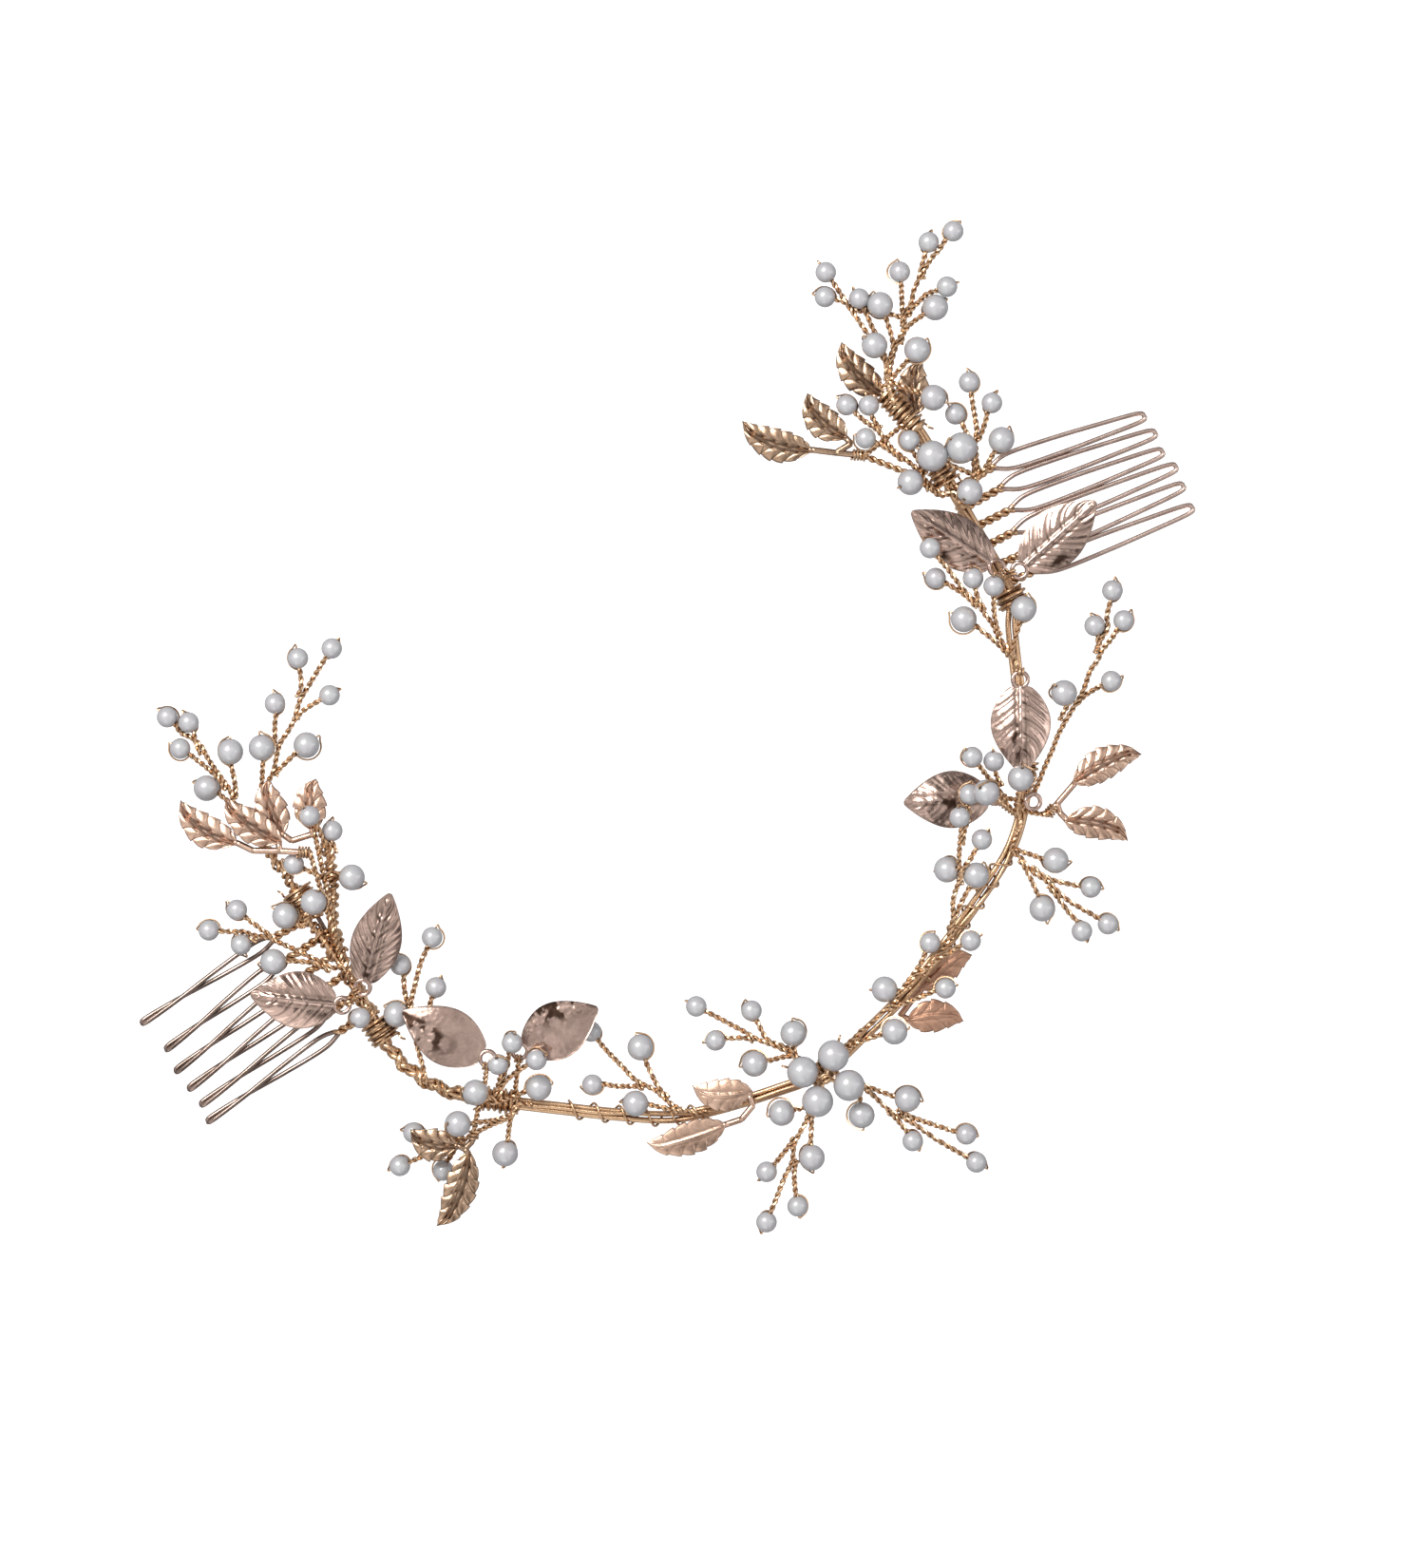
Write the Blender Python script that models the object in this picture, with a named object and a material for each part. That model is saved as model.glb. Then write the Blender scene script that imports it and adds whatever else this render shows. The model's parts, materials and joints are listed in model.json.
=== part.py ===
"""Bridal hair vine: a wire band with pearl sprays, stamped and cast leaves, and two wire combs.

It lies flat on a table, pearls up. +Z is up and the table is z = 0. +X points to the right comb
and -Y to the front, where the big pearls sit. Places are given from midway between the two combs'
bars, in millimetres, and angles in degrees. Each object is made in metres, from the origin, which
is under the middle of the whole outline.
"""

import math

import bmesh
import bpy
from mathutils import Euler, Vector

MM = 0.001

# Driving dimensions. MIDDLE is the middle of the whole outline, where the origin goes.
MIDDLE = Vector((0.05, -16.514, 0))
ARM_X = 73.3
VINE_HEIGHT = 3.6
VINE_WIRE_RADIUS = 0.45
VINE_WIRE_OFFSET = 0.65
VINE_STEP = 5.5
BIND_RADIUS = 0.2
COIL_STEPS = 8
BINDING_HALF_WIDTH = 1.75
BINDING_HALF_HEIGHT = 1.1
LASHING_HALF_WIDTH = 2.2
LASHING_HALF_HEIGHT = 2.2
WRAP_PITCH = 4.8
WRAP_STEPS = 7
WRAP_HALF_WIDTH = 1.7
WRAP_HALF_HEIGHT = 1.15
STEM_HEIGHT = 5.7
STEM_RADIUS = 0.55
TWIG_RADIUS = 0.38
STEM_STEP = 5.0
BEAD_RADIUS = {"small": 2.0, "medium": 2.5, "large": 3.0}
COMB_WIRE_RADIUS = 0.45
COMB_BAR_HEIGHT = 1.3
COMB_TOOTH_HEIGHT = COMB_WIRE_RADIUS * math.cos(math.radians(45))
NECK_HALF_WIDTH = 0.55
NECK_MIDDLE = 0.45
HEAD_HALF_WIDTH = 0.6
HAIRPIN = ((0.12, 1.6), (0.4, 1.65), (0.72, 1.3), (0.97, 0.85))
LEAF_THICKNESS = 0.5
LEAF_ARCH = 0.8
BLADE_END_HALF_WIDTH = 0.35
BLADE_FULLNESS = 0.85
BLADE_SKEW = 0.8
EYELET_RADIUS = 1.55
EYELET_WIRE_RADIUS = 0.45
CAST_WIDTH = 5.8
CAST_THICKNESS = 1.1
CAST_ARCH = 0.3
CAST_STALK_RADIUS = 0.4
CLUSTER_CENTRE = (-4.15, -68.75)
CLUSTER_HEIGHT = 9.7
CLUSTER_HEADINGS = {"back_right": 42, "back_left": 134, "front_left": -140, "front_right": -46}
CLUSTER_REACH = 4.6
CLUSTER_WIRE_RADIUS = 0.28
CLUSTER_STALK_RADIUS = 0.38
CLUSTER_STALK_LENGTH = 3.9
CLUSTER_HUB_RADIUS = 0.8
CLUSTER_END_RADIUS = 0.85
CLUSTER_END_REACH = 8.5
CLUSTER_BORE_RADIUS = 0.66
CLUSTER_BORE_HALF_LENGTH = 4

MATERIALS = {
    "pearl": ((0.80, 0.79, 0.82), 0.25, 0.0),
    "gold_wire": ((0.78, 0.52, 0.27), 0.30, 1.0),
    "stamped_leaf": ((0.80, 0.57, 0.48), 0.20, 1.0),
    "cast_leaf": ((0.72, 0.50, 0.40), 0.32, 1.0),
    "comb_wire": ((0.66, 0.50, 0.44), 0.30, 1.0),
}


def clear_scene():
    for obj in list(bpy.data.objects):
        bpy.data.objects.remove(obj)


def make_material(name):
    colour, roughness, metallic = MATERIALS[name]
    material = bpy.data.materials.new(name)
    material.use_nodes = True
    shader = material.node_tree.nodes["Principled BSDF"]
    shader.inputs["Base Color"].default_value = (*colour, 1)
    shader.inputs["Roughness"].default_value = roughness
    shader.inputs["Metallic"].default_value = metallic
    return material


# Objects.


def make_object(name, shape, location, turn, collection):
    """An object that holds a shape given in millimetres about a place, its own origin."""
    bmesh.ops.recalc_face_normals(shape, faces=shape.faces)
    bmesh.ops.scale(shape, vec=(MM, MM, MM), verts=shape.verts)
    mesh = bpy.data.meshes.new(name)
    shape.to_mesh(mesh)
    shape.free()
    mesh.shade_smooth()
    mesh.set_sharp_from_angle(angle=math.radians(50))
    obj = bpy.data.objects.new(name, mesh)
    obj.location = (Vector(location) - MIDDLE) * MM
    obj.rotation_euler = turn
    collection.objects.link(obj)
    return obj


def make_piece(name, material, shapes, location=(0, 0, 0), turn=Euler()):
    """One named piece: its first shape, with a Boolean that unites any others with it."""
    piece = make_object(name, shapes[0], location, turn, bpy.context.scene.collection)
    piece.data.materials.append(MATERIAL[material])
    if len(shapes) > 1:
        extras = bpy.data.collections.new(name + "_extras")
        bpy.context.scene.collection.children.link(extras)
        for number, shape in enumerate(shapes[1:]):
            extra = make_object(f"{name}_extra_{number}", shape, location, turn, extras)
            extra.hide_render = True
            extra.display_type = "WIRE"
        union = piece.modifiers.new("Unite", "BOOLEAN")
        union.operation = "UNION"
        union.operand_type = "COLLECTION"
        union.collection = extras
    return piece


# Shapes, as bmeshes in millimetres.


def skin_rings(rings):
    """A closed skin over rings of points, each ring joined to the next and the ends filled."""
    shape = bmesh.new()
    rows = [[shape.verts.new(point) for point in ring] for ring in rings]
    count = len(rows[0])
    for row, following in zip(rows, rows[1:]):
        for k in range(count):
            after = (k + 1) % count
            shape.faces.new((row[k], row[after], following[after], following[k]))
    shape.faces.new(rows[0])
    shape.faces.new(list(reversed(rows[-1])))
    return shape


def tube(path, radius, sides=4, level=True):
    """A bar along a path. A level one keeps a flat side facing down, a coiled one rolls with the path."""
    path = [Vector(point) for point in path]
    rings = []
    side = None
    for number, here in enumerate(path):
        before = path[max(number - 1, 0)]
        after = path[min(number + 1, len(path) - 1)]
        along = (after - before).normalized()
        if side is None or level:
            side = along.cross((0, 0, 1)) if abs(along.z) < 0.95 else along.cross((0, 1, 0))
        side = (side - along * side.dot(along)).normalized()
        up = side.cross(along)
        ring = []
        for k in range(sides):
            angle = math.tau * (k + 0.5) / sides
            ring.append(here + radius * (math.cos(angle) * side + math.sin(angle) * up))
        rings.append(ring)
    return skin_rings(rings)


def ball(centre, radius, around=8, rings=4):
    shape = bmesh.new()
    bmesh.ops.create_uvsphere(shape, u_segments=around, v_segments=rings, radius=radius)
    bmesh.ops.translate(shape, vec=Vector(centre), verts=shape.verts)
    return shape


def eyelet(radius, wire_radius, around=12, sides=4):
    """A flat ring of wire about the origin."""
    shape = bmesh.new()
    rows = []
    for i in range(around):
        turn = math.tau * i / around
        row = []
        for k in range(sides):
            angle = math.tau * (k + 0.5) / sides
            reach = radius + wire_radius * math.cos(angle)
            point = (reach * math.cos(turn), reach * math.sin(turn), wire_radius * math.sin(angle))
            row.append(shape.verts.new(point))
        rows.append(row)
    for i in range(around):
        row, following = rows[i], rows[(i + 1) % around]
        for k in range(sides):
            after = (k + 1) % sides
            shape.faces.new((row[k], row[after], following[after], following[k]))
    return shape


def blade(length, width, start, cup, arch, thickness, stations, across):
    """A leaf blade along +X from start: widest before its middle, cupped across and arched along it."""
    rings = []
    for i in range(stations):
        part = i / (stations - 1)
        x = start + (length - start) * part
        fullness = math.sin(math.pi * part ** BLADE_SKEW) ** BLADE_FULLNESS
        half = BLADE_END_HALF_WIDTH + (width / 2 - BLADE_END_HALF_WIDTH) * fullness
        ridge = arch * math.sin(math.pi * part)
        top = []
        bottom = []
        for k in range(across):
            v = 2 * k / (across - 1) - 1
            z = ridge - cup * (half * v / (width / 2)) ** 2
            top.append((x, half * v, z + thickness / 2))
            bottom.append((x, half * v, z - thickness / 2))
        rings.append(top + bottom[::-1])
    return skin_rings(rings)


def smooth_path(points, step):
    """Points at about equal steps along a smooth curve through the given ones."""
    points = [Vector(point) for point in points]
    ends = [2 * points[0] - points[1]] + points + [2 * points[-1] - points[-2]]
    path = []
    for a, b, c, d in zip(ends, ends[1:], ends[2:], ends[3:]):
        count = max(1, round((c - b).length / step))
        for i in range(count):
            t = i / count
            even = 2 * b + (c - a) * t
            curved = (2 * a - 5 * b + 4 * c - d) * t ** 2 + (3 * b - a - 3 * c + d) * t ** 3
            path.append((even + curved) / 2)
    path.append(points[-1])
    return path


# The vine: two wires side by side, apart where the left arm forks, with binding wire round them.

OUTER_TAIL = [(-75.2, 29), (-75, 22), (-74.2, 15), (-75.2, 9), (-74.5, 3)]
INNER_TAIL = [(-64.5, 18.5), (-67.2, 10.5), (-71, 4)]
VINE_LINE = [
    (-ARM_X, -4), (-73.6, -14), (-73.6, -23), (-71, -31), (-65, -38), (-50, -49.5), (-41, -56),
    (-33, -61), (-24, -64), (-13, -66.5), (-4, -67.7), (5.5, -65.7), (16, -63), (27, -59),
    (38, -54.2), (48, -49), (54.5, -43), (59.5, -35.5), (63.5, -27), (66.8, -19), (69.9, -12), (72.4, -8),
    (73.1, -4), (ARM_X, 4), (ARM_X, 12), (ARM_X, 20), (73.2, 29), (71.5, 38.5),
]


def left_of(path, number):
    """The leftward direction, in plan, at a point of a path."""
    before = path[max(number - 1, 0)]
    after = path[min(number + 1, len(path) - 1)]
    forward = (after - before).normalized()
    return Vector((-forward.y, forward.x, 0))


def on_vine(places, step):
    return smooth_path([(x, y, VINE_HEIGHT) for x, y in places], step)


def vine_wire(name, tail, offset):
    path = on_vine(VINE_LINE, VINE_STEP)
    beside = [path[number] + offset * left_of(path, number) for number in range(len(path))]
    make_piece(name, "gold_wire", [tube(on_vine(tail, VINE_STEP) + beside, VINE_WIRE_RADIUS)])


def coil(name, start, end, turns, half_width, half_height, height):
    """Binding wire wound round whatever lies on the straight line from start to end."""
    start = Vector((*start, height))
    forward = Vector((*end, height)) - start
    left = Vector((-forward.y, forward.x, 0)).normalized()
    path = []
    for i in range(turns * COIL_STEPS + 1):
        angle = math.tau * i / COIL_STEPS
        centre = start + forward * i / (turns * COIL_STEPS)
        lift = Vector((0, 0, half_height * math.sin(angle)))
        path.append(centre + half_width * math.cos(angle) * left + lift)
    make_piece(name, "gold_wire", [tube(path, BIND_RADIUS, level=False)])


def binding(name, start, end, turns):
    """A coil round the vine and the stems tied to it."""
    coil(name, start, end, turns, BINDING_HALF_WIDTH, BINDING_HALF_HEIGHT, VINE_HEIGHT)


def lashing(name, start, end, turns, half_width=LASHING_HALF_WIDTH):
    """A coil round the vine and a comb's bar."""
    height = (VINE_HEIGHT + COMB_BAR_HEIGHT) / 2
    coil(name, start, end, turns, half_width, LASHING_HALF_HEIGHT, height)


def open_wrap(name, first, last):
    """Binding wire that spirals openly along the vine between two of its bends."""
    line = on_vine(VINE_LINE[first:last], WRAP_PITCH / WRAP_STEPS)
    path = []
    for number, here in enumerate(line):
        angle = math.tau * number / WRAP_STEPS
        lift = Vector((0, 0, WRAP_HALF_HEIGHT * math.sin(angle)))
        path.append(here + WRAP_HALF_WIDTH * math.cos(angle) * left_of(line, number) + lift)
    make_piece(name, "gold_wire", [tube(path, BIND_RADIUS, level=False)])


def make_vine():
    vine_wire("vine_wire_outer", OUTER_TAIL, -VINE_WIRE_OFFSET)
    vine_wire("vine_wire_inner", INNER_TAIL, VINE_WIRE_OFFSET)
    open_wrap("front_left_wrap_wire", 5, 9)
    open_wrap("right_arm_wrap_wire", 13, 16)
    binding("front_left_binding", (-62, -40.3), (-58.5, -43), 4)
    binding("centre_binding", (-6.5, -67.5), (-2, -67.6), 5)
    binding("right_arm_binding", (57, -39.3), (59, -36.3), 4)
    binding("right_crown_binding", (72.6, 32.5), (71.9, 36), 4)
    lashing("left_comb_front_lashing", (-73.6, -16.8), (-73.6, -20.2), 4)
    lashing("left_comb_back_lashing", (-74.2, 12.4), (-74.2, 10), 3, 2.5)
    lashing("right_comb_front_lashing", (72.8, -6), (72.6, -8.2), 3)
    lashing("right_comb_back_lashing", (73.2, 18.6), (73.2, 21.2), 3)


# Combs: one wire each, bent from the bar out along six hairpin teeth and back.


def comb(name, side, bar, roots, head_reach, heads, tip_reach, tips):
    """Reaches are distances out from the bar, and the rest are distances along it. Each tooth goes out from
    its root on the bar, widens at its head and comes back from its tip."""
    axis = Vector((side * ARM_X, 0, COMB_BAR_HEIGHT))
    drop = COMB_TOOTH_HEIGHT - COMB_BAR_HEIGHT
    path = [(0, bar[0], 0)]
    for root, reach, head, tip_x, tip in zip(roots, head_reach, heads, tip_reach, tips):
        out = [
            (0, root, NECK_HALF_WIDTH, 0),
            (reach * NECK_MIDDLE, (root + head) / 2, NECK_HALF_WIDTH, drop / 2),
            (reach, head, HEAD_HALF_WIDTH, drop),
        ]
        for part, half in HAIRPIN:
            out.append((reach + (tip_x - reach) * part, head + (tip - head) * part, half, drop))
        path += [(side * x, y + half, z) for x, y, half, z in out]
        path.append((side * tip_x, tip, drop))
        path += [(side * x, y - half, z) for x, y, half, z in reversed(out)]
    path.append((0, bar[1], 0))
    make_piece(name, "comb_wire", [tube(path, COMB_WIRE_RADIUS)], axis)


def make_combs():
    comb(
        "left_comb",
        -1,
        bar=(13.2, -20.8),
        roots=(7.2, 2.9, -1.3, -5.6, -9.9, -14.4),
        head_reach=(10, 12, 12, 10.5, 8.5, 8.5),
        heads=(7.2, 2.2, -2.2, -6.5, -10.6, -14.8),
        tip_reach=(39.5, 38, 38.5, 38, 37.5, 38),
        tips=(5.7, -1, -5.6, -9.8, -13.6, -17),
    )
    comb(
        "right_comb",
        1,
        bar=(22, -9),
        roots=(16.4, 12.3, 8.1, 3.9, -0.3, -4.4),
        head_reach=(9.5, 9, 8.7, 7, 5.5, 6.5),
        heads=(16.4, 12.1, 7.6, 3.6, -0.9, -4.9),
        tip_reach=(39.2, 39.4, 38.8, 39.6, 39, 38.4),
        tips=(10.4, 6.5, 2.7, -1.1, -5, -9.5),
    )


# Stamped leaves: a thin cupped blade on an eyelet, which its tie wire holds and lets it tilt.


def stamped_leaf(name, place, heading, length, width, lift, cup):
    """The place is the eyelet's centre, lift raises the tip, and the blade starts inside the eyelet's wire."""
    start = EYELET_RADIUS - EYELET_WIRE_RADIUS / 2
    body = blade(length, width, start, cup, LEAF_ARCH, LEAF_THICKNESS, stations=8, across=5)
    turn = Euler((0, -math.radians(lift), math.radians(heading)))
    make_piece(name, "stamped_leaf", [body, eyelet(EYELET_RADIUS, EYELET_WIRE_RADIUS)], place, turn)


def make_stamped_leaves():
    stamped_leaf("left_comb_inner_leaf", (-72, -9.6, 7.6), 43, 19, 9.5, 8, 1.2)
    stamped_leaf("left_comb_outer_leaf", (-77.1, -10.6, 7.6), 143, 17.5, 11, 4, 1.2)
    stamped_leaf("front_left_inner_leaf", (-58.1, -33.3, 7.8), 121, 18.5, 11, 0, 1.0)
    stamped_leaf("front_left_outer_leaf", (-52.1, -35.1, 7.8), -1, 17, 11, 0, 1.0)
    stamped_leaf("right_comb_inner_leaf", (72.8, -0.8, 7.6), 117, 19.5, 10, 3, 1.4)
    stamped_leaf("right_comb_outer_leaf", (76.3, -3.4, 7.6), 12, 19.5, 11, 6, 1.4)
    stamped_leaf("right_arm_long_leaf", (66, -21.5, 7.8), -119, 18, 11.5, 0, 1.0)
    stamped_leaf("right_arm_wide_leaf", (50.8, -38.5, 4.8), 154, 17.5, 11, 2, 1.2)


# Cast leaves: two small ribbed leaves cast in one piece with the stalks that join them.


def cast_sprig(name, height, leaves, stalks):
    """Each leaf is its base, heading and length. Each stalk runs through the given places in plan."""
    shapes = [tube([(x, y, height) for x, y in stalk], CAST_STALK_RADIUS) for stalk in stalks]
    for (x, y), heading, length in leaves:
        body = blade(length, CAST_WIDTH, 0, CAST_ARCH, CAST_ARCH, CAST_THICKNESS, stations=6, across=3)
        turn = Euler((0, 0, math.radians(heading))).to_matrix()
        bmesh.ops.rotate(body, matrix=turn, verts=body.verts)
        bmesh.ops.translate(body, vec=(x, y, height), verts=body.verts)
        shapes.append(body)
    make_piece(name, "cast_leaf", shapes)


def make_cast_sprigs():
    cast_sprig(
        "left_crown_front_sprig", 8.6, [((-79, 26), 117, 13.5), ((-71.5, 22), 116, 13.5)],
        [[(-79.4, 26.8), (-77, 23.4), (-72.5, 20.6), (-71.9, 22.9)], [(-72.9, 20.9), (-67.6, 17.5)]],
    )
    cast_sprig(
        "left_crown_back_sprig", 6.7, [((-71, 23), 79, 11.2), ((-65.5, 21), 62, 10)],
        [[(-70.9, 23.9), (-69.8, 21.4), (-66, 20), (-65.1, 21.8)]],
    )
    cast_sprig(
        "front_left_sprig", 7.0, [((-71.5, -45), 137, 9.5), ((-70, -47), -140, 15.5)],
        [
            [(-72.1, -44.4), (-70.4, -45.8), (-70.7, -47.6)],
            [(-70.8, -45.7), (-68.6, -45.5), (-67.2, -43.9)],
        ],
    )
    cast_sprig(
        "front_middle_sprig", 7.0, [((-17.5, -64), 150, 11.5), ((-25, -67), 167, 15.5)],
        [[(-18.3, -63.5), (-18.8, -66.4), (-22, -67.6), (-25.9, -66.8)]],
    )
    cast_sprig(
        "right_front_sprig", 1.2, [((20, -63.6), 9, 12), ((14.7, -67.4), -25, 11)],
        [[(20.9, -63.4), (17.5, -64.6), (14.2, -66), (15.6, -67.8)]],
    )
    cast_sprig(
        "right_arm_sprig", 5.4, [((65, -43.7), -3, 14.2), ((60, -49), -43, 12.7)],
        [[(65.9, -43.7), (60.2, -45.6), (57.6, -46.6)], [(60.6, -45.5), (60, -47.4), (60.7, -49.7)]],
    )
    cast_sprig(
        "right_wing_sprig", 3.9, [((53.6, 36.3), 131, 14.5), ((60.5, 35), 106, 11.5)],
        [[(53, 37), (57.4, 33.6), (62, 30.4)], [(57, 33.9), (60.8, 33.8), (60.3, 35.8)]],
    )
    cast_sprig(
        "right_crown_sprig", 1.3, [((70.8, 38.8), 102, 13), ((74.7, 32.4), 61, 10.4)],
        [[(70.6, 39.7), (72.4, 37.6), (74.4, 34.8), (75.1, 33.2)]],
    )


def make_sprig_wire():
    """The bare wire that carries the right wing's sprig out from the vine."""
    path = on_vine([(71.2, 16.5), (68.8, 21.5), (63, 29)], VINE_STEP)
    make_piece("right_wing_sprig_wire", "gold_wire", [tube(path, VINE_WIRE_RADIUS)])


# Pearl sprays: a twisted stem with a bead at its end, and twisted twigs that each hold a bead.


def stem_point(root, heading, curl, length, along):
    """How far a stem that turns evenly through curl degrees has got, and its heading there."""
    start = math.radians(heading)
    if abs(curl) < 1:
        return root[0] + along * math.cos(start), root[1] + along * math.sin(start), start
    bend = math.radians(curl) / length
    now = start + bend * along
    x = root[0] + (math.sin(now) - math.sin(start)) / bend
    y = root[1] + (math.cos(start) - math.cos(now)) / bend
    return x, y, now


def spray(name, root, heading, curl, length, bead, twigs, low=STEM_HEIGHT, high=STEM_HEIGHT):
    """Each twig is (place along the stem, turn off it, length, bead, rise). The stem runs from height
    low at its root to height high at its end bead."""

    def on_stem(along):
        x, y, now = stem_point(root, heading, curl, length, along)
        return Vector((x - root[0], y - root[1], low + (high - low) * along / length)), now

    steps = max(2, round(length / STEM_STEP))
    stem = [on_stem(length * i / steps)[0] for i in range(steps + 1)]
    shapes = [tube(stem, STEM_RADIUS), ball(stem[-1], BEAD_RADIUS[bead])]
    for along, turn, reach, size, rise in twigs:
        fork, now = on_stem(along)
        way = now + math.radians(turn)
        end = fork + Vector((reach * math.cos(way), reach * math.sin(way), rise))
        shapes += [tube([fork, end], TWIG_RADIUS), ball(end, BEAD_RADIUS[size])]
    make_piece(name, "pearl", shapes, (*root, 0))


def make_sprays():
    spray("left_crown_outer_spray", (-75.5, 30.5), 90, 2, 20.5, "small", [
        (13.5, 17, 10.5, "small", -1), (9.5, 28, 8.5, "small", 0), (2.5, 34, 6.5, "medium", -1),
        (4, -28, 8.5, "medium", 1)], low=5.0, high=4.0)
    spray("left_crown_inner_spray", (-72, 30), 46, -20, 33.5, "small", [
        (22, 31, 8, "small", 0.5), (18, -33, 8.5, "small", -0.5), (12, 27, 8.5, "small", 0),
        (6.5, -33, 9, "medium", -0.5), (2.5, 17, 9, "medium", 1.5)], low=5.0, high=3.5)
    spray("left_wing_spray", (-68, 12), 28, 46, 9.5, "small", [
        (5, 38, 8.5, "small", 4), (0, 97, 6.5, "small", 1), (2, -88, 4.5, "medium", 0)], high=6.5)
    spray("left_wing_pearl_pair", (-76.5, 6), 115, 0, 4, "medium", [(0, -80, 5.5, "medium", 2)])
    spray("left_comb_spray", (-75.5, -3.5), 117, 32, 25, "small", [
        (12, -22, 9.5, "small", 0.5), (10, 20, 8.5, "small", -0.5), (3, 31, 8.5, "medium", 1)], high=4.5)
    spray("left_comb_pearl", (-72.5, -13.5), 198, 0, 3, "small", [], high=7.5)
    spray("left_inner_spray", (-70, -29.5), 82, -50, 26.5, "small", [
        (12.5, 19, 8.5, "small", -1), (9, 52, 4, "medium", -0.5), (6, -31, 11, "small", -0.5)], high=4)
    spray("front_left_pearl_cluster", (-61.5, -41.5), 46, -6, 12.5, "small", [
        (1, 86, 4, "medium", 1), (4, 17, 4, "small", 3.5), (5, -44, 8, "small", 3.5),
        (1, -61, 8.5, "medium", 0)], high=11)
    spray("front_left_lower_spray", (-59, -45), 177, -4, 24.5, "small", [
        (1, 55, 7.5, "medium", -2), (5, -31, 6.2, "medium", 5.2), (12.5, -35, 8.5, "small", -1.5),
        (11, 33, 7.5, "small", -1.5)], high=2.5)
    spray("front_left_spray", (-30, -61.5), 125, -28, 24.5, "small", [
        (12, 47, 8.5, "small", -1), (7, -37, 9.5, "medium", 0), (1.5, 20, 9, "medium", 1)], high=3.5)
    spray("centre_left_spray", (-6.5, -63), 125, -2, 22, "small", [
        (9, 31, 8, "small", -1), (6.5, -36, 7, "small", 0.5), (1.5, 39, 7.5, "medium", 1),
        (0.5, -55, 4.5, "medium", 1)], high=3.5)
    spray("centre_right_spray", (0.5, -72.5), -68, 8, 28, "small", [
        (13, 21, 11, "small", -1), (8, -20, 8, "small", -1), (2.5, 25, 8, "medium", 0.5),
        (0.5, -46, 6, "medium", 0.5)], high=2.2)
    spray("centre_lower_spray", (-9.5, -72), -137, -6, 24, "small", [
        (10.5, 26, 9.5, "small", -1), (6.5, -25, 9, "small", -0.5), (1, 22, 9, "medium", -0.5),
        (0, -60, 5.5, "medium", 1)], high=2.2)
    spray("right_front_spray", (2.5, -65.5), 6, 30, 25.5, "small", [
        (2, 21, 11, "medium", 0), (1, -23, 8.5, "medium", 1.5), (12.5, -37, 10, "small", 0.5),
        (20, -32, 11.5, "small", 1)], high=6.4)
    spray("right_arm_inner_spray", (29, -58), 50, 10, 24, "small", [
        (17.5, -8, 11, "small", 0.8), (6.5, 16, 7.5, "medium", 0), (4, -20, 10, "medium", 1),
        (11, -24, 10, "small", 1)], high=10.8)
    spray("right_arm_pearl_cluster", (52.5, -44), 95, 6, 14.5, "small", [
        (6.5, -28, 5.5, "small", 2), (1, 21, 7, "medium", 8), (0.5, -40, 7, "medium", 5)], high=11.5)
    spray("right_arm_low_spray", (48.5, -49.5), -74, 14, 23, "small", [
        (1.5, 39, 7, "medium", 0), (4, -30, 8.5, "medium", -1), (8, 30, 9, "small", 0),
        (13, -28, 7.5, "small", 0)], high=3)
    spray("right_arm_high_spray", (57.5, -41.5), 40, -16, 37.5, "small", [
        (29, 21, 13, "small", 0), (25, 23, 9.5, "small", -0.5), (19.5, -35, 8, "small", -1),
        (10.5, 13, 9.5, "medium", 1)], high=3)
    spray("right_wing_inner_spray", (67, -17), 95, 6, 26, "small", [
        (15, 25, 6.5, "small", -1), (10, -22, 7, "small", 2), (6.5, -36, 8, "small", 4),
        (4, 25, 8, "medium", 0), (0.5, -50, 9, "medium", 1.5)], high=11.5)
    spray("right_wing_outer_spray", (78, 15), 59, 12, 19.5, "small", [
        (9, -29, 7, "small", 0), (7, 31, 7.5, "small", 0), (1.5, -33, 8, "medium", 0.5),
        (3.5, 46, 4.5, "large", 2), (0.5, 64, 10, "large", 2), (0, 136, 2.5, "medium", 2)], high=4.5)
    spray("right_wing_inner_twigs", (70.5, 16.5), 102, 8, 25, "small", [
        (17, -29, 5.5, "small", 0), (12.5, 25, 6, "small", 1), (6.5, -29, 6, "small", 1),
        (1.5, 31, 5, "medium", 1.2)], high=5.5)
    spray("right_crown_spray", (71.5, 39), 46, -4, 30, "small", [
        (22.5, -20, 11.5, "small", 0), (18, -52, 7.5, "small", 0.5), (12.5, -41, 7.5, "medium", -0.5),
        (14.5, 23, 9, "small", 0.5), (9, 39, 8.5, "medium", 1), (7, 47, 13, "small", 0),
        (6, 52, 21.5, "small", -1), (5, 59, 18.5, "small", 0), (3, 42, 6.5, "medium", 1.5),
        (2, -28, 8, "medium", 1), (1, -91, 9, "medium", 2)], high=3)


# The big centre pearls: bored, each free to turn on one arm of a wire cross.


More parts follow.
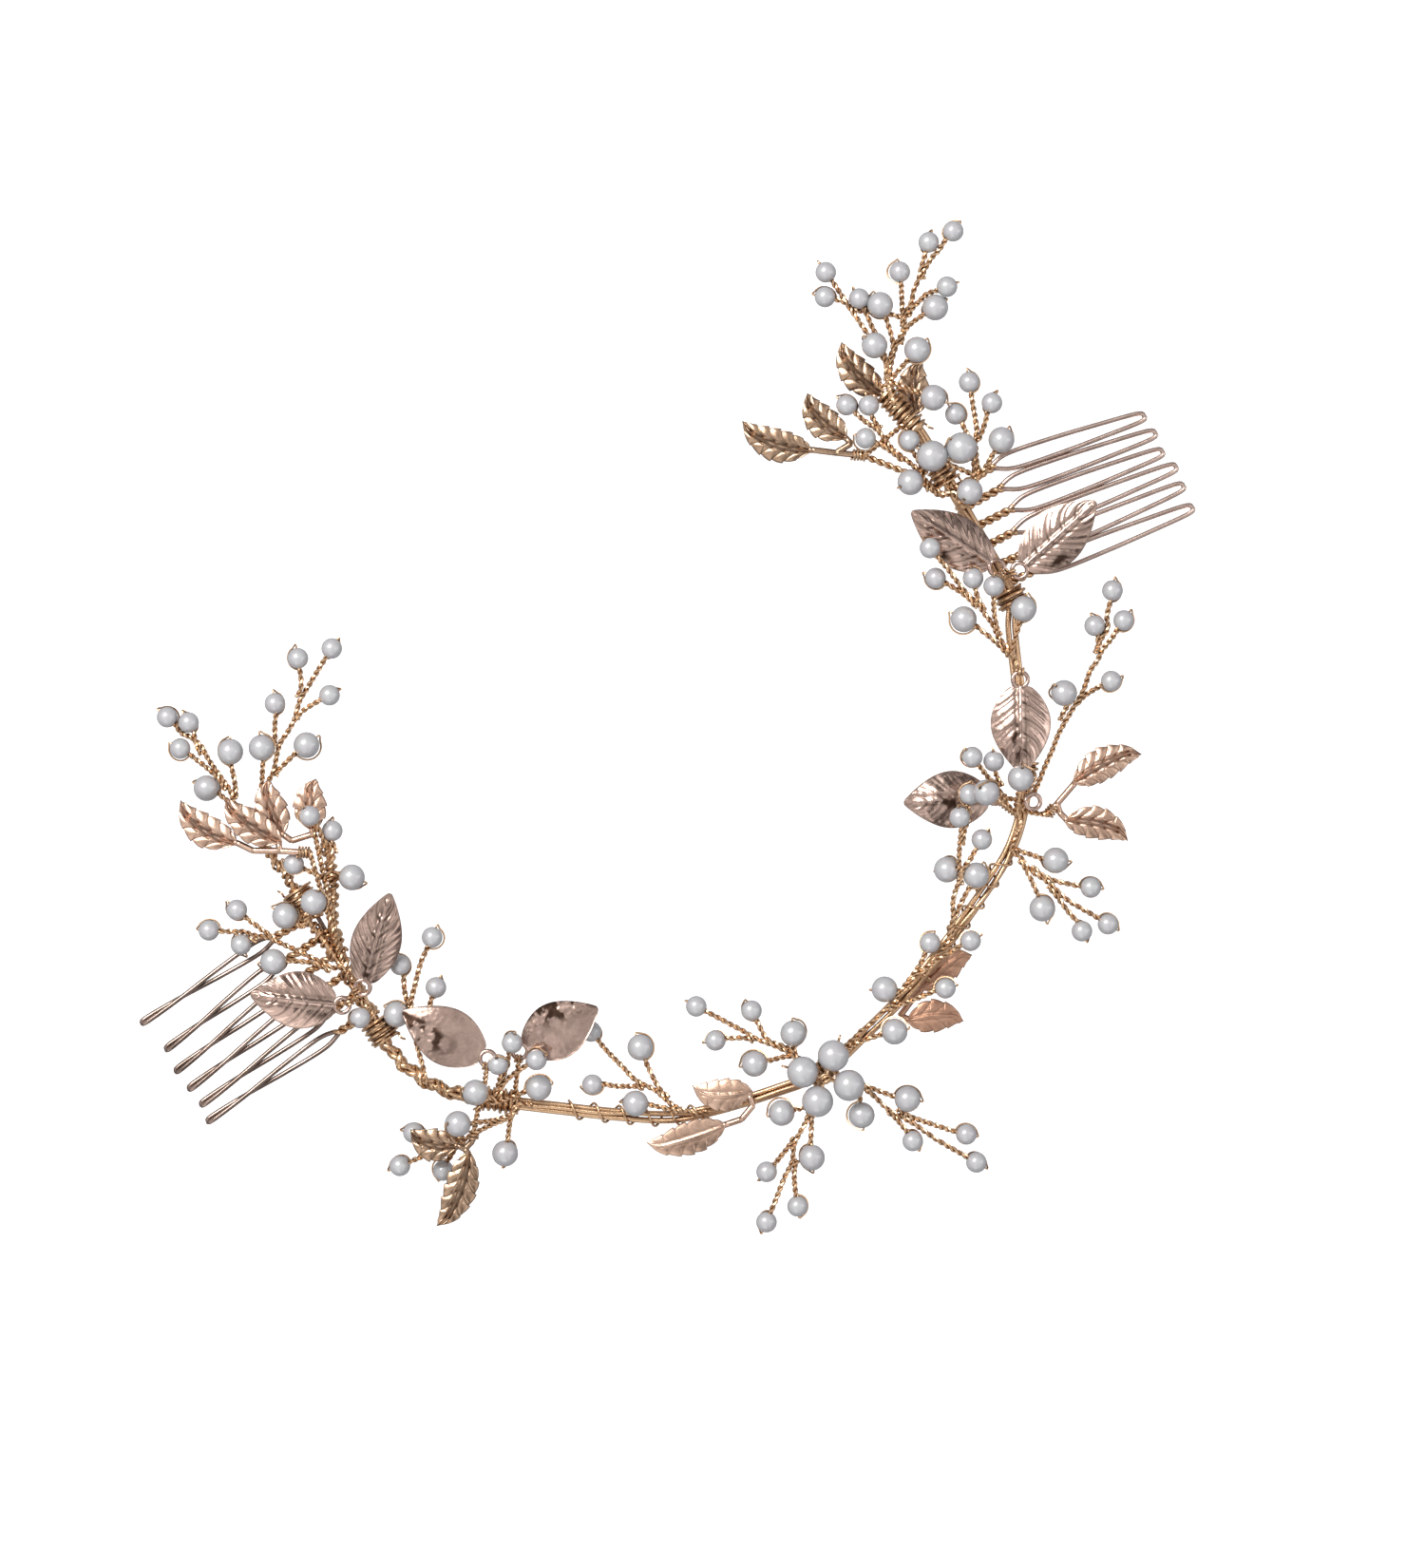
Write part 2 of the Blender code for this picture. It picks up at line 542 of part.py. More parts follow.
def centre_pearl(name, place, turn):
    """A big pearl with a hole right through it for its wire."""
    ball_shape = ball((0, 0, 0), BEAD_RADIUS["large"], around=12, rings=8)
    pearl = make_piece(f"centre_pearl_{name}", "pearl", [ball_shape], place, turn)
    reach = CLUSTER_BORE_HALF_LENGTH
    cutter = tube([(-reach, 0, 0), (reach, 0, 0)], CLUSTER_BORE_RADIUS, sides=8)
    drill = make_object(f"centre_drill_{name}", cutter, place, turn, bpy.context.scene.collection)
    drill.hide_render = True
    drill.display_type = "WIRE"
    bore = pearl.modifiers.new("Bore", "BOOLEAN")
    bore.operation = "DIFFERENCE"
    bore.object = drill


def make_centre_cluster():
    """Four big pearls on the arms of a wire cross, which a stalk holds above the vine."""
    centre = Vector((*CLUSTER_CENTRE, CLUSTER_HEIGHT))
    stalk = tube([(0, 0, 0), (0, 0, -CLUSTER_STALK_LENGTH)], CLUSTER_STALK_RADIUS)
    cross = [ball((0, 0, 0), CLUSTER_HUB_RADIUS, rings=6), stalk]
    for name, heading in CLUSTER_HEADINGS.items():
        turn = Euler((0, 0, math.radians(heading)))
        way = Vector((1, 0, 0))
        way.rotate(turn)
        cross.append(tube([(0, 0, 0), CLUSTER_END_REACH * way], CLUSTER_WIRE_RADIUS, sides=6))
        cross.append(ball(CLUSTER_END_REACH * way, CLUSTER_END_RADIUS, rings=6))
        centre_pearl(name, centre + CLUSTER_REACH * way, turn)
    make_piece("centre_cluster_wire", "gold_wire", cross, centre)


clear_scene()
MATERIAL = {name: make_material(name) for name in MATERIALS}
make_vine()
make_combs()
make_stamped_leaves()
make_cast_sprigs()
make_sprig_wire()
make_sprays()
make_centre_cluster()
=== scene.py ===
"""The looks of the bridal hair vine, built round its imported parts.

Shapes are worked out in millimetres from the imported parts' own corners, in numpy, and become
objects in metres. Each section below makes one kind of piece.
"""

import json
import math

import bmesh
import bpy
import numpy as np
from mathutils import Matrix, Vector, noise

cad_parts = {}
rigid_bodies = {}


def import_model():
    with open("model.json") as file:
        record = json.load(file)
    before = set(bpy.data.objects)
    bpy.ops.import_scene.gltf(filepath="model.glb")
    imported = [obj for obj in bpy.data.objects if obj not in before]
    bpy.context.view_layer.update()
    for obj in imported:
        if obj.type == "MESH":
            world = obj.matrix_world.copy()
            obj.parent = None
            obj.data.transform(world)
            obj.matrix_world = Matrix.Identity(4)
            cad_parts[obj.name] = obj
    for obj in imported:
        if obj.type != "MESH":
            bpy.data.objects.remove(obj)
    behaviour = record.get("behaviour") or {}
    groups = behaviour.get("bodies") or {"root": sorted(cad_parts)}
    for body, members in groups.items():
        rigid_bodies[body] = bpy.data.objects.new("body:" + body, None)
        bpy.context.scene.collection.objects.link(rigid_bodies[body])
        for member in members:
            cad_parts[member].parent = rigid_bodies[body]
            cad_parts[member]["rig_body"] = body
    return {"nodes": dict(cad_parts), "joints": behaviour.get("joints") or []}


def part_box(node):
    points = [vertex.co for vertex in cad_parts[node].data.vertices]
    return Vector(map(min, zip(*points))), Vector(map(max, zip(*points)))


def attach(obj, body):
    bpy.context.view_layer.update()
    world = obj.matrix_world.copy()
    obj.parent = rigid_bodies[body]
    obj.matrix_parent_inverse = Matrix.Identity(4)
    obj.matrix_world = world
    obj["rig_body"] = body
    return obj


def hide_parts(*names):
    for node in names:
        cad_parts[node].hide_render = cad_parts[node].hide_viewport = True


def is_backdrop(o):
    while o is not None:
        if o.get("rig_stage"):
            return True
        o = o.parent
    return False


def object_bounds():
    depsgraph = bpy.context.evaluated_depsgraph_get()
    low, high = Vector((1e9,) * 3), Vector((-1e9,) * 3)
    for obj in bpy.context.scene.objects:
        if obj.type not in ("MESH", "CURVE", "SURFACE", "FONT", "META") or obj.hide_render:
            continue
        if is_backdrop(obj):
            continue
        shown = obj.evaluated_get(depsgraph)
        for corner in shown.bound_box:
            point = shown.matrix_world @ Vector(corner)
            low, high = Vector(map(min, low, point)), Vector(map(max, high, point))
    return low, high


for leftover in list(bpy.data.objects):
    bpy.data.objects.remove(leftover)
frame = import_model()
CAD_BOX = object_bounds()
NODES = frame["nodes"]

MM = 0.001
UP = np.array([0.0, 0.0, 1.0])
LEVEL = 1 - UP

# Driving sizes, in millimetres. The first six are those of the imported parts.
BEAD_RADII = (3.0, 2.5, 2.0)
CORE_RADIUS = 0.45
THREAD_RADIUS = 0.19
CAST_WIDTH = 6.4
CAST_ROWS = 5
RING_REACH = 0.95

# Pearls and their stems.
HOLE_RADIUS = 0.32
BIG_HOLE_RADIUS = 0.42
ARM_RADIUS = 0.26
STRAND_RADIUS = 0.29
STRAND_PITCH = 2.5
LOOP_RADIUS = 0.19
LEAD_LENGTH = 4.5
HUB_HEIGHT = 1.6
HUB_REACH = 13.0
MOST_ANCHOR = 9.0

# The band, its threads and its ties.
BAND_STEP = 0.5
FULL_RADIUS = 0.58
ROPE_PITCH = 5.2
ROPE_LENGTH = 48.0
ROPE_START = 16
BESIDE = 1.5
THICK_THREAD = 0.36
THIN_THREAD = 0.3
WRAP_RADIUS = 0.25
COIL_RADIUS = 0.28
COIL_PITCH = 0.62
TIE_RADIUS = 0.24
TIE_PITCH = 2.2

# Combs.
COMB_RADIUS = 0.46
TOOTH_POINTS = 15
STUB_PITCH = 3.4
HOOK_REACH = 0.95
HOOK_RADIUS = 0.42

# Leaves.
EYELET_REACH = 1.55
EYELET_RADIUS = EYELET_REACH - 0.1
EYELET_WIRE = 0.42
PLATE_HALF = 0.2
VEIN_COUNT = 5.5
SAW_PITCH = 2.5
STALK_RADIUS = 0.62

# Surfaces.
# How far the painted crevice shade looks for nearby surfaces, in millimetres.
CREVICE = 0.7
# Roughness added where the painted shade attribute lies.
STAIN_ROUGHNESS = 0.3
SHARP_ANGLE = math.radians(55)

# The stage, in metres and watts. The camera looks straight down, turned as the photo is.
VIEW_TURN = math.radians(-30)
VIEW_SHIFT = (0.00515, 0.00711)
VIEW_AIM = 0.005
VIEW_HEIGHT = 0.300
LENS = 100
FLOOR_DROP = 0.040
FLOOR_REACH = 3.0
FLOOR_GREY = (0.40, 0.40, 0.41)
FLOOR_WHITE = 0.9
ROOM_STRENGTH = 0.8
KEY_POWER = 8.5
FILL_POWER = 1.2


# Reading the frame.


def body_of(node):
    return NODES[node]["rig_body"]


def box_of(node):
    """A CAD node's low and high corners in millimetres."""
    return [np.array(corner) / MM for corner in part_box(node)]


def corners_of(node):
    """A CAD node's separate corners in millimetres, and its triangles as rows of corner numbers."""
    mesh = NODES[node].data
    places = np.array([v.co for v in mesh.vertices], float) / MM
    corners, number = np.unique(np.round(places, 3), axis=0, return_inverse=True)
    triangles = number.reshape(-1)[np.array([p.vertices for p in mesh.polygons])]
    return corners, triangles


def neighbours_of(triangles, count):
    """For each corner, the numbers of the corners that share an edge with it."""
    near = [set() for _ in range(count)]
    for a, b, c in triangles:
        near[a] |= {b, c}
        near[b] |= {a, c}
        near[c] |= {a, b}
    return near


def tube_path(node, radius):
    """The middle line of a CAD bar, read ring by ring from one of its end caps."""
    corners, triangles = corners_of(node)
    near = neighbours_of(triangles, len(corners))
    sides = np.linalg.norm(corners[triangles] - corners[np.roll(triangles, 1, axis=1)], axis=2)
    small = triangles[sides.max(axis=1) < 2.4 * radius]
    caps = [set(a) | set(b) for a in small for b in small if len(set(a) & set(b)) == 2]
    first = min(caps, key=lambda cap: sum(len(near[k]) for k in cap))
    ring, seen, path = first, set(first), []
    while ring:
        path.append(corners[list(ring)].mean(axis=0))
        ring = set().union(*(near[k] for k in ring)) - seen
        seen |= ring
    return np.array(path)


def beads_of(corners):
    """Centres and radii of a node's round beads, found from their lowest and highest corners."""
    found = []
    for radius in BEAD_RADII:
        for pole in corners:
            for centre in (pole - radius * UP, pole + radius * UP):
                on_it = np.abs(lengths(corners - centre) - radius) < 0.02
                known = any(np.linalg.norm(centre - other) < 0.5 for other, _ in found)
                if on_it.sum() >= 12 and not known:
                    found.append((centre, radius))
    return found


def clusters_of(points, reach):
    """Numbers that group points lying within reach of each other, the lowest of each group's own."""
    group = np.arange(len(points))
    for point in points:
        close = group[lengths(points - point) < reach]
        group[np.isin(group, close)] = close.min()
    return group


def tree_of(node, ends):
    """Knots of a CAD node and how they join. The knots are the given ends, each a centre with the mask of
    its corners, then the middles of the bars' rings. An end is never passed through."""
    corners, triangles = corners_of(node)
    owner = np.full(len(corners), -1)
    for k, (_, mask) in enumerate(ends):
        owner[mask] = k
    free = np.flatnonzero(owner < 0)
    groups = clusters_of(corners[free], RING_REACH)
    knots = [centre for centre, _ in ends]
    for label in np.unique(groups):
        members = free[groups == label]
        owner[members] = len(knots)
        knots.append(corners[members].mean(axis=0))
    knots = np.array(knots)
    edges = ((owner[a], owner[b]) for row in triangles for a, b in zip(row, np.roll(row, 1)))
    pairs = {tuple(sorted(edge)) for edge in edges}
    joined = sorted((np.linalg.norm(knots[a] - knots[b]), a, b) for a, b in pairs if a != b)
    tree = [set() for _ in knots]
    label = np.arange(len(knots))
    for _, a, b in joined:
        if label[a] != label[b] and min(a, b) >= len(ends):
            tree[a].add(b)
            tree[b].add(a)
            label[label == label[b]] = label[a]
    bars = np.arange(len(ends), len(knots))
    for k in range(len(ends)):
        touching = [max(a, b) for _, a, b in joined if k in (a, b) and max(a, b) >= len(ends)]
        near = touching[0] if touching else bars[np.argmin(lengths(knots[bars] - knots[k]))]
        tree[k].add(near)
        tree[near].add(k)
    return knots, tree


def lines_from(root, knots, tree):
    """Lines through a tree's knots from the root: the longest first, the others from where they fork off."""
    routes, order = {root: [root]}, [root]
    for here in order:
        for other in sorted(tree[here] - set(routes)):
            routes[other] = routes[here] + [other]
            order.append(other)
    lines = [routes[k] for k in order if len(tree[k]) == 1 and k != root]
    lines.sort(key=len, reverse=True)
    branches, used = [], set()
    for line in lines:
        start = max([i for i, k in enumerate(line) if k in used], default=0)
        before = knots[line[start - 1]] if start else None
        branches.append((line[-1], knots[line[start:]], before))
        used |= set(line)
    return branches


# Lines and directions.


def unit(vector):
    return vector / np.linalg.norm(vector)


def lengths(rows):
    return np.linalg.norm(rows, axis=1)


def clamp(value):
    return np.clip(value, 0, 1)


def run_along(line):
    """How far along a line each of its points lies."""
    return np.concatenate([[0], np.cumsum(lengths(np.diff(line, axis=0)))])


def ways_along(line):
    """The direction of a line at each of its points."""
    along = np.gradient(line, axis=0)
    return along / lengths(along)[:, None]


def left_of(along):
    """The level direction to the left of each given direction."""
    left = np.cross(UP, along)
    return left / lengths(left)[:, None]


def circling(turn, first, second):
    """Directions at the given angles from the first direction toward the second."""
    return np.cos(turn)[:, None] * first + np.sin(turn)[:, None] * second


def resample(line, step):
    """The same line with evenly spaced points."""
    line = np.asarray(line, float)
    run = run_along(line)
    count = max(3, int(round(run[-1] / step)) + 1)
    at = np.linspace(0, run[-1], count)
    return np.stack([np.interp(at, run, line[:, k]) for k in range(3)], axis=1)


def smooth_line(points, step):
    """A Catmull-Rom curve through the points, evenly resampled."""
    points = np.asarray(points, float)
    padded = np.vstack([2 * points[0] - points[1], points, 2 * points[-1] - points[-2]])
    line = []
    for a, b, c, d in zip(padded, padded[1:], padded[2:], padded[3:]):
        count = max(2, int(np.linalg.norm(c - b) / step) + 1)
        t = (np.arange(count) / count)[:, None]
        bend = 2 * a - 5 * b + 4 * c - d
        swing = 3 * b - a - 3 * c + d
        line.append(0.5 * (2 * b + (c - a) * t + bend * t**2 + swing * t**3))
    line.append(points[-1:])
    return resample(np.vstack(line), step)


def frames_along(line):
    """Directions along a line and two across it that turn as little as possible."""
    along = ways_along(line)
    side = np.cross(along[0], UP)
    if np.linalg.norm(side) < 0.05:
        side = np.array([1.0, 0.0, 0.0])
    across = []
    for way in along:
        side = unit(side - way * (side @ way))
        across.append(side)
    across = np.array(across)
    return along, across, np.cross(along, across)


# Shapes: each is an array of points and a list of faces.


def strip(low, high, count):
    """Four-cornered faces between two closed rows of corners, which start at the given numbers."""
    return [(low + k, low + (k + 1) % count, high + (k + 1) % count, high + k) for k in range(count)]


def sweep(line, radius, sides=8):
    """A round wire along a line, with domed ends. The radius is one number or one for each point."""
    line = np.asarray(line, float)
    along, across, over = frames_along(line)
    radius = np.broadcast_to(radius, len(line))
    turn = math.tau * np.arange(sides) / sides
    ring = np.cos(turn)[None, :, None] * across[:, None, :] + np.sin(turn)[None, :, None] * over[:, None, :]
    walls = (line[:, None, :] + radius[:, None, None] * ring).reshape(-1, 3)
    ends = np.array([line[0] - 0.7 * radius[0] * along[0], line[-1] + 0.7 * radius[-1] * along[-1]])
    faces = []
    faces = []
    for i in range(len(line) - 1):
        faces += strip(i * sides, (i + 1) * sides, sides)
    first, last, top = len(walls), len(walls) + 1, (len(line) - 1) * sides
    faces += [(first, (k + 1) % sides, k) for k in range(sides)]
    faces += [(last, top + k, top + (k + 1) % sides) for k in range(sides)]
    return np.vstack([walls, ends]), faces


def join(shapes):
    points, faces, start = [], [], 0
    for some_points, some_faces in shapes:
        points.append(some_points)
        faces += [tuple(start + k for k in face) for face in some_faces]
        start += len(some_points)
    return np.vstack(points), faces


def twisted(line, strand_radius=STRAND_RADIUS, pitch=STRAND_PITCH, phase=0.0, sides=6):
    """Two strands twisted about each other along a line."""
    line = resample(line, pitch / 9)
    _, across, over = frames_along(line)
    shapes = []
    for k in range(2):
        turn = phase + math.tau * (run_along(line) / pitch + k / 2)
        shapes.append(sweep(line + strand_radius * circling(turn, across, over), strand_radius, sides))
    return shapes


def wound(line, half_width, half_height, pitch, thread, rng, wobble=0.0):
    """A thread wound round a line, at half_width to its sides and half_height above and below it."""
    line = resample(line, pitch / 14)
    along = ways_along(line)
    left = left_of(along)
    over = np.cross(along, left)
    turn = math.tau * run_along(line) / pitch
    knots = np.arange(0, turn[-1] + 7, 1.7)
    loose = 1 + wobble * np.interp(turn, knots, rng.normal(0, 1, len(knots)))
    sideways = (half_width * loose * np.cos(turn))[:, None] * left
    upward = (half_height * loose * np.sin(turn))[:, None] * over
    return sweep(line + sideways + upward, thread, 6)


def turned_ring(centre, axis, profile, around):
    """A closed profile of (along, out) pairs turned about an axis through the centre."""
    axis = unit(axis)
    side = unit(np.cross(axis, UP if abs(axis[2]) < 0.9 else np.array([1.0, 0.0, 0.0])))
    out = circling(math.tau * np.arange(around) / around, side, np.cross(axis, side))
    profile = np.asarray(profile, float)
    points = centre + profile[:, 0][:, None, None] * axis + profile[:, 1][:, None, None] * out[None]
    faces = []
    for i in range(len(profile)):
        faces += strip(i * around, (i + 1) % len(profile) * around, around)
    return points.reshape(-1, 3), faces


def bored_bead(centre, axis, radius, hole=HOLE_RADIUS, around=28, rows=17):
    """A round bead with a fine hole right through it and a soft lip where the hole comes out."""
    edge = math.asin((hole + 0.09) / radius)
    angles = np.linspace(edge, math.pi - edge, rows)
    outside = [(radius * math.cos(a), radius * math.sin(a)) for a in angles]
    lip = radius * math.cos(edge) - 0.05
    bore = [(-lip, hole + 0.02), (-lip + 0.2, hole), (0, hole), (lip - 0.2, hole), (lip, hole + 0.02)]
    return turned_ring(centre, axis, outside + bore, around)


def ring(centre, axis, radius, wire, around=28, sides=10):
    """A round wire bent to a closed ring."""
    turn = math.tau * np.arange(sides) / sides
    profile = [(wire * math.sin(a), radius + wire * math.cos(a)) for a in turn]
    return turned_ring(centre, axis, profile, around)


def place(points, base, along, left):
    """Points given along, left of and above a base, put in their place."""
    over = np.cross(along, left)
    return base + points[:, :1] * along + points[:, 1:2] * left + points[:, 2:3] * over


def sheet(x, y, top, bottom):
    """A closed plate over a grid of places, from grids of top and bottom heights."""
    rows, columns = x.shape
    count = rows * columns
    points = np.vstack([
        np.stack([x, y, top], axis=-1).reshape(-1, 3),
        np.stack([x, y, bottom], axis=-1).reshape(-1, 3),
    ])
    faces = []
    for i in range(rows - 1):
        for k in range(columns - 1):
            a = i * columns + k
            b, c, d = a + columns, a + columns + 1, a + 1
            faces.append((a, b, c, d))
            faces.append((a + count, d + count, c + count, b + count))
    rim = list(range(columns))
    rim += [i * columns + columns - 1 for i in range(1, rows)]
    rim += [(rows - 1) * columns + k for k in range(columns - 2, -1, -1)]
    rim += [i * columns for i in range(rows - 2, 0, -1)]
    for a, b in zip(rim, rim[1:] + rim[:1]):
        faces.append((a, b, b + count, a + count))
    return points, faces


# Making the pieces.


def add_object(name, data):
    thing = bpy.data.objects.new(name, data)
    bpy.context.scene.collection.objects.link(thing)
    return thing


def make_piece(name, shapes, material, slot, nodes, stain=None):
    """One visible piece that stands for CAD nodes and rides on their body, or is an extra on the vine.

    Painted shade, given for its first corners, darkens them.
    """
    points, faces = join(shapes)
    mesh = bpy.data.meshes.new(name)
    mesh.from_pydata([tuple(p) for p in points * MM], [], faces)
    # Painted shade for the first corners goes into a mesh attribute that the metal darkens by.
    if stain is not None:
        darker = np.zeros(len(points))
        darker[: len(stain)] = clamp(stain)
        mesh.attributes.new("stain", "FLOAT", "POINT").data.foreach_set("value", darker)
    mesh.materials.append(material)
    working = bmesh.new()
    working.from_mesh(mesh)
    bmesh.ops.recalc_face_normals(working, faces=working.faces)
    working.to_mesh(mesh)
    working.free()
    mesh.shade_smooth()
    mesh.set_sharp_from_angle(angle=SHARP_ANGLE)
    piece = add_object(name, mesh)
    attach(piece, body_of(nodes[0]) if nodes else "vine")
    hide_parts(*nodes)


def make_wires(name, shapes, *nodes):
    make_piece(name, shapes, GOLD_WIRE, "gold_wire", nodes)


# Materials.


def new_material(name):
    material = bpy.data.materials.new(name)
    material.use_nodes = True
    tree = material.node_tree
    return material, tree, tree.nodes["Principled BSDF"]


def feed(tree, node, inputs):
    """Give a node's inputs numbers, colours or other nodes' outputs."""
    for name, value in dict(inputs).items():
        socket = node.inputs[name]
        if isinstance(value, (int, float)):
            socket.default_value = value
        elif isinstance(value, tuple):
            socket.default_value = (*value, 1)
        else:
            tree.links.new(value, socket)


def add_node(tree, kind, inputs=()):
    node = tree.nodes.new("ShaderNode" + kind)
    feed(tree, node, inputs)
    return node


def object_noise(tree, scale, detail):
    """Noise fixed to the piece. Scale is in features to the millimetre."""
    where = add_node(tree, "TexCoord").outputs["Object"]
    inputs = {"Scale": scale / MM, "Detail": detail, "Roughness": 0.55, "Vector": where}
    return add_node(tree, "TexNoise", inputs).outputs["Fac"]


def ramp(tree, factor, stops):
    """A colour for each value of the factor. A stop is a position and a colour, or a number for a grey."""
    node = add_node(tree, "ValToRGB", {"Fac": factor})
    elements = node.color_ramp.elements
    for k, (position, colour) in enumerate(stops):
        element = elements[0 if k == 0 else -1] if k in (0, len(stops) - 1) else elements.new(position)
        element.position = position
        element.color = (*colour, 1) if isinstance(colour, tuple) else (colour, colour, colour, 1)
    return node.outputs["Color"]


def mixed(tree, factor, first, second, kind="MIX"):
    """A mix of two colours. A mix node's colour sockets are numbers 0, 6 and 7."""
    node = add_node(tree, "Mix")
    node.data_type = "RGBA"
    node.blend_type = kind
    feed(tree, node, {0: factor, 6: first, 7: second})
    return node.outputs[2]


def worked_out(tree, operation, *values):
    """The result of one arithmetic step."""
    node = add_node(tree, "Math", enumerate(values))
    node.operation = operation
    return node.outputs[0]


def dented(tree, strength, depth, height):
    """The normals of a surface with dents as deep as given in millimetres."""
    inputs = {"Strength": strength, "Distance": depth * MM, "Height": height}
    return add_node(tree, "Bump", inputs).outputs["Normal"]


def metal(name, bright, dull, deep, rough=0.26, dents=0.02, dent_scale=1.5, groove=0.5):
    """Plated metal whose tint drifts at random from bright to dull, with painted shade taking it toward the
    deep colour in hollows, grooves and crevices, and wherever the mesh's painted-shade attribute marks it.
    """
    material, tree, shader = new_material(name)
    tint = ramp(tree, object_noise(tree, 0.25, 4), [(0.35, dull), (0.62, bright)])
    # Painted shade: where pointiness shows a hollow or groove, the tint is darkened toward the deep colour by
    # the given amount.
    hollow = add_node(tree, "NewGeometry").outputs["Pointiness"]
    hollow = ramp(tree, hollow, [(0.40, 1.0), (0.485, 0.0)])
    tint = mixed(tree, worked_out(tree, "MULTIPLY", hollow, groove), tint, deep)
    # The mesh attribute read here holds painted shade under veins and in grooves, painted dark reflections
    # and darker rims; it takes the tint toward the deep colour and roughens the surface.
    attribute = add_node(tree, "Attribute")
    attribute.attribute_name = "stain"
    stain = attribute.outputs["Fac"]
    tint = mixed(tree, stain, tint, deep)
    # Painted shade: ambient occlusion darkens crevices, such as the gaps between twisted strands, toward the
    # deep colour.
    shade = add_node(tree, "AmbientOcclusion", {"Distance": CREVICE * MM})
    shade.samples = 6
    crevice = ramp(tree, shade.outputs["AO"], [(0.2, 0.95), (0.72, 0.0)])
    smear = {"Value": object_noise(tree, 1.3, 5), "To Min": rough * 0.65, "To Max": rough * 1.5}
    smear = add_node(tree, "MapRange", smear).outputs["Result"]
    feed(tree, shader, {
        "Metallic": 1.0,
        "Base Color": mixed(tree, crevice, tint, deep),
        "Roughness": worked_out(tree, "MULTIPLY_ADD", stain, STAIN_ROUGHNESS, smear),
        "Normal": dented(tree, 1.0, dents, object_noise(tree, dent_scale, 3)),
    })
    return material


def pearl_material():
    """Imitation pearl: grey-white nacre under a soft clear coat, with painted shade darkening it toward its
    edge and a painted rim light at the very edge.
    """
    material, tree, shader = new_material("pearl")
    facing = add_node(tree, "LayerWeight", {"Blend": 0.35}).outputs["Facing"]
    # Painted shade: the nacre darkens from the middle toward the edge, then a painted rim light brightens the
    # very edge.
    nacre = ramp(tree, facing, [
        (0.0, (0.53, 0.53, 0.55)),
        (0.2, (0.49, 0.49, 0.51)),
        (0.5, (0.40, 0.40, 0.42)),
        (0.85, (0.27, 0.27, 0.28)),
        (1.0, (0.42, 0.42, 0.44)),
    ])
    cloud = ramp(tree, object_noise(tree, 0.35, 3), [(0.3, (0.97, 0.94, 0.97)), (0.7, (0.97, 1.0, 0.98))])
    feed(tree, shader, {
        "Base Color": mixed(tree, 1.0, nacre, cloud, "MULTIPLY"),
        "Roughness": 0.44,
        "Specular IOR Level": 1.0,
        "Coat Weight": 1.0,
        "Coat IOR": 1.8,
        "Coat Roughness": 0.14,
        "Normal": dented(tree, 0.6, 0.02, object_noise(tree, 2.0, 4)),
    })
    return material


PEARL = pearl_material()
GOLD_WIRE = metal(
    "gold_wire", (0.82, 0.55, 0.34), (0.66, 0.42, 0.25), (0.16, 0.08, 0.04), dent_scale=3.0, groove=0.4
)
STAMPED = metal(
    "stamped_leaf", (0.70, 0.51, 0.43), (0.55, 0.39, 0.33), (0.06, 0.035, 0.025),
    rough=0.17, dents=0.03, dent_scale=0.9, groove=0.3,
)
CAST = metal("cast_leaf", (0.78, 0.54, 0.41), (0.64, 0.42, 0.31), (0.12, 0.06, 0.04))
# Painted shade: a darker copy of the cast leaf metal for three of the sprigs.
CAST_AGED = metal(
    "cast_leaf_shaded", (0.60, 0.41, 0.28), (0.42, 0.28, 0.19), (0.05, 0.03, 0.02), rough=0.24
)
CAST_COPPER = metal(
    "cast_leaf_copper", (0.66, 0.39, 0.27), (0.50, 0.28, 0.19), (0.10, 0.05, 0.03), rough=0.35, dents=0.04
)
COMB_METAL = metal(
    "comb_wire", (0.74, 0.57, 0.50), (0.60, 0.45, 0.39), (0.14, 0.08, 0.07),
    rough=0.2, dents=0.01, dent_scale=2.0, groove=0.3,
)
# Painted shade: a darker copy of the comb wire metal for the left comb's rolled teeth.
COMB_AGED = metal(
    "comb_wire_shaded", (0.40, 0.30, 0.26), (0.24, 0.18, 0.15), (0.05, 0.035, 0.03),
    rough=0.2, dents=0.01, dent_scale=2.0, groove=0.3,
)


# Pearl sprays.


def loop_round_bead(centre, axis, radius, rng):
    """The wire that leaves a bead's far hole, bends back and lies down one side of it."""
    axis = unit(axis)
    side = rng.normal(0, 1, 3)
    side = unit(side - axis * (side @ axis))
    side = unit(side - UP * (side @ UP + 0.45))
    side = unit(side - axis * (side @ axis))
    slack = 0.45 * rng.uniform(0, 1) ** 3
    nub = rng.uniform(0.35, 0.75)
    line = [centre + (radius - 0.7) * axis, centre + (radius + nub) * axis]
    for angle in np.linspace(0.12 * math.pi, 0.92 * math.pi, 9):
        out = radius + 0.2 + slack * math.sin(angle) ** 2
        line.append(centre + out * (math.cos(angle) * axis + math.sin(angle) * side))
    line.append(centre - (radius + 0.5) * axis)
    return sweep(smooth_line(line, 0.3), LOOP_RADIUS, 6)


def clear_of(line, beads, clearance=0.55):
    """The line, pushed out of any bead that it would run through."""
    for _ in range(4):
        for centre, radius in beads:
            away = line - centre - 0.05 * UP
            gap = lengths(away)
            near = gap < radius + clearance
            near[[0, -1]] = False
            line[near] = centre + away[near] / gap[near][:, None] * (radius + clearance)
        line[1:-1] = (line[:-2] + line[1:-1] + line[2:]) / 3
    return line


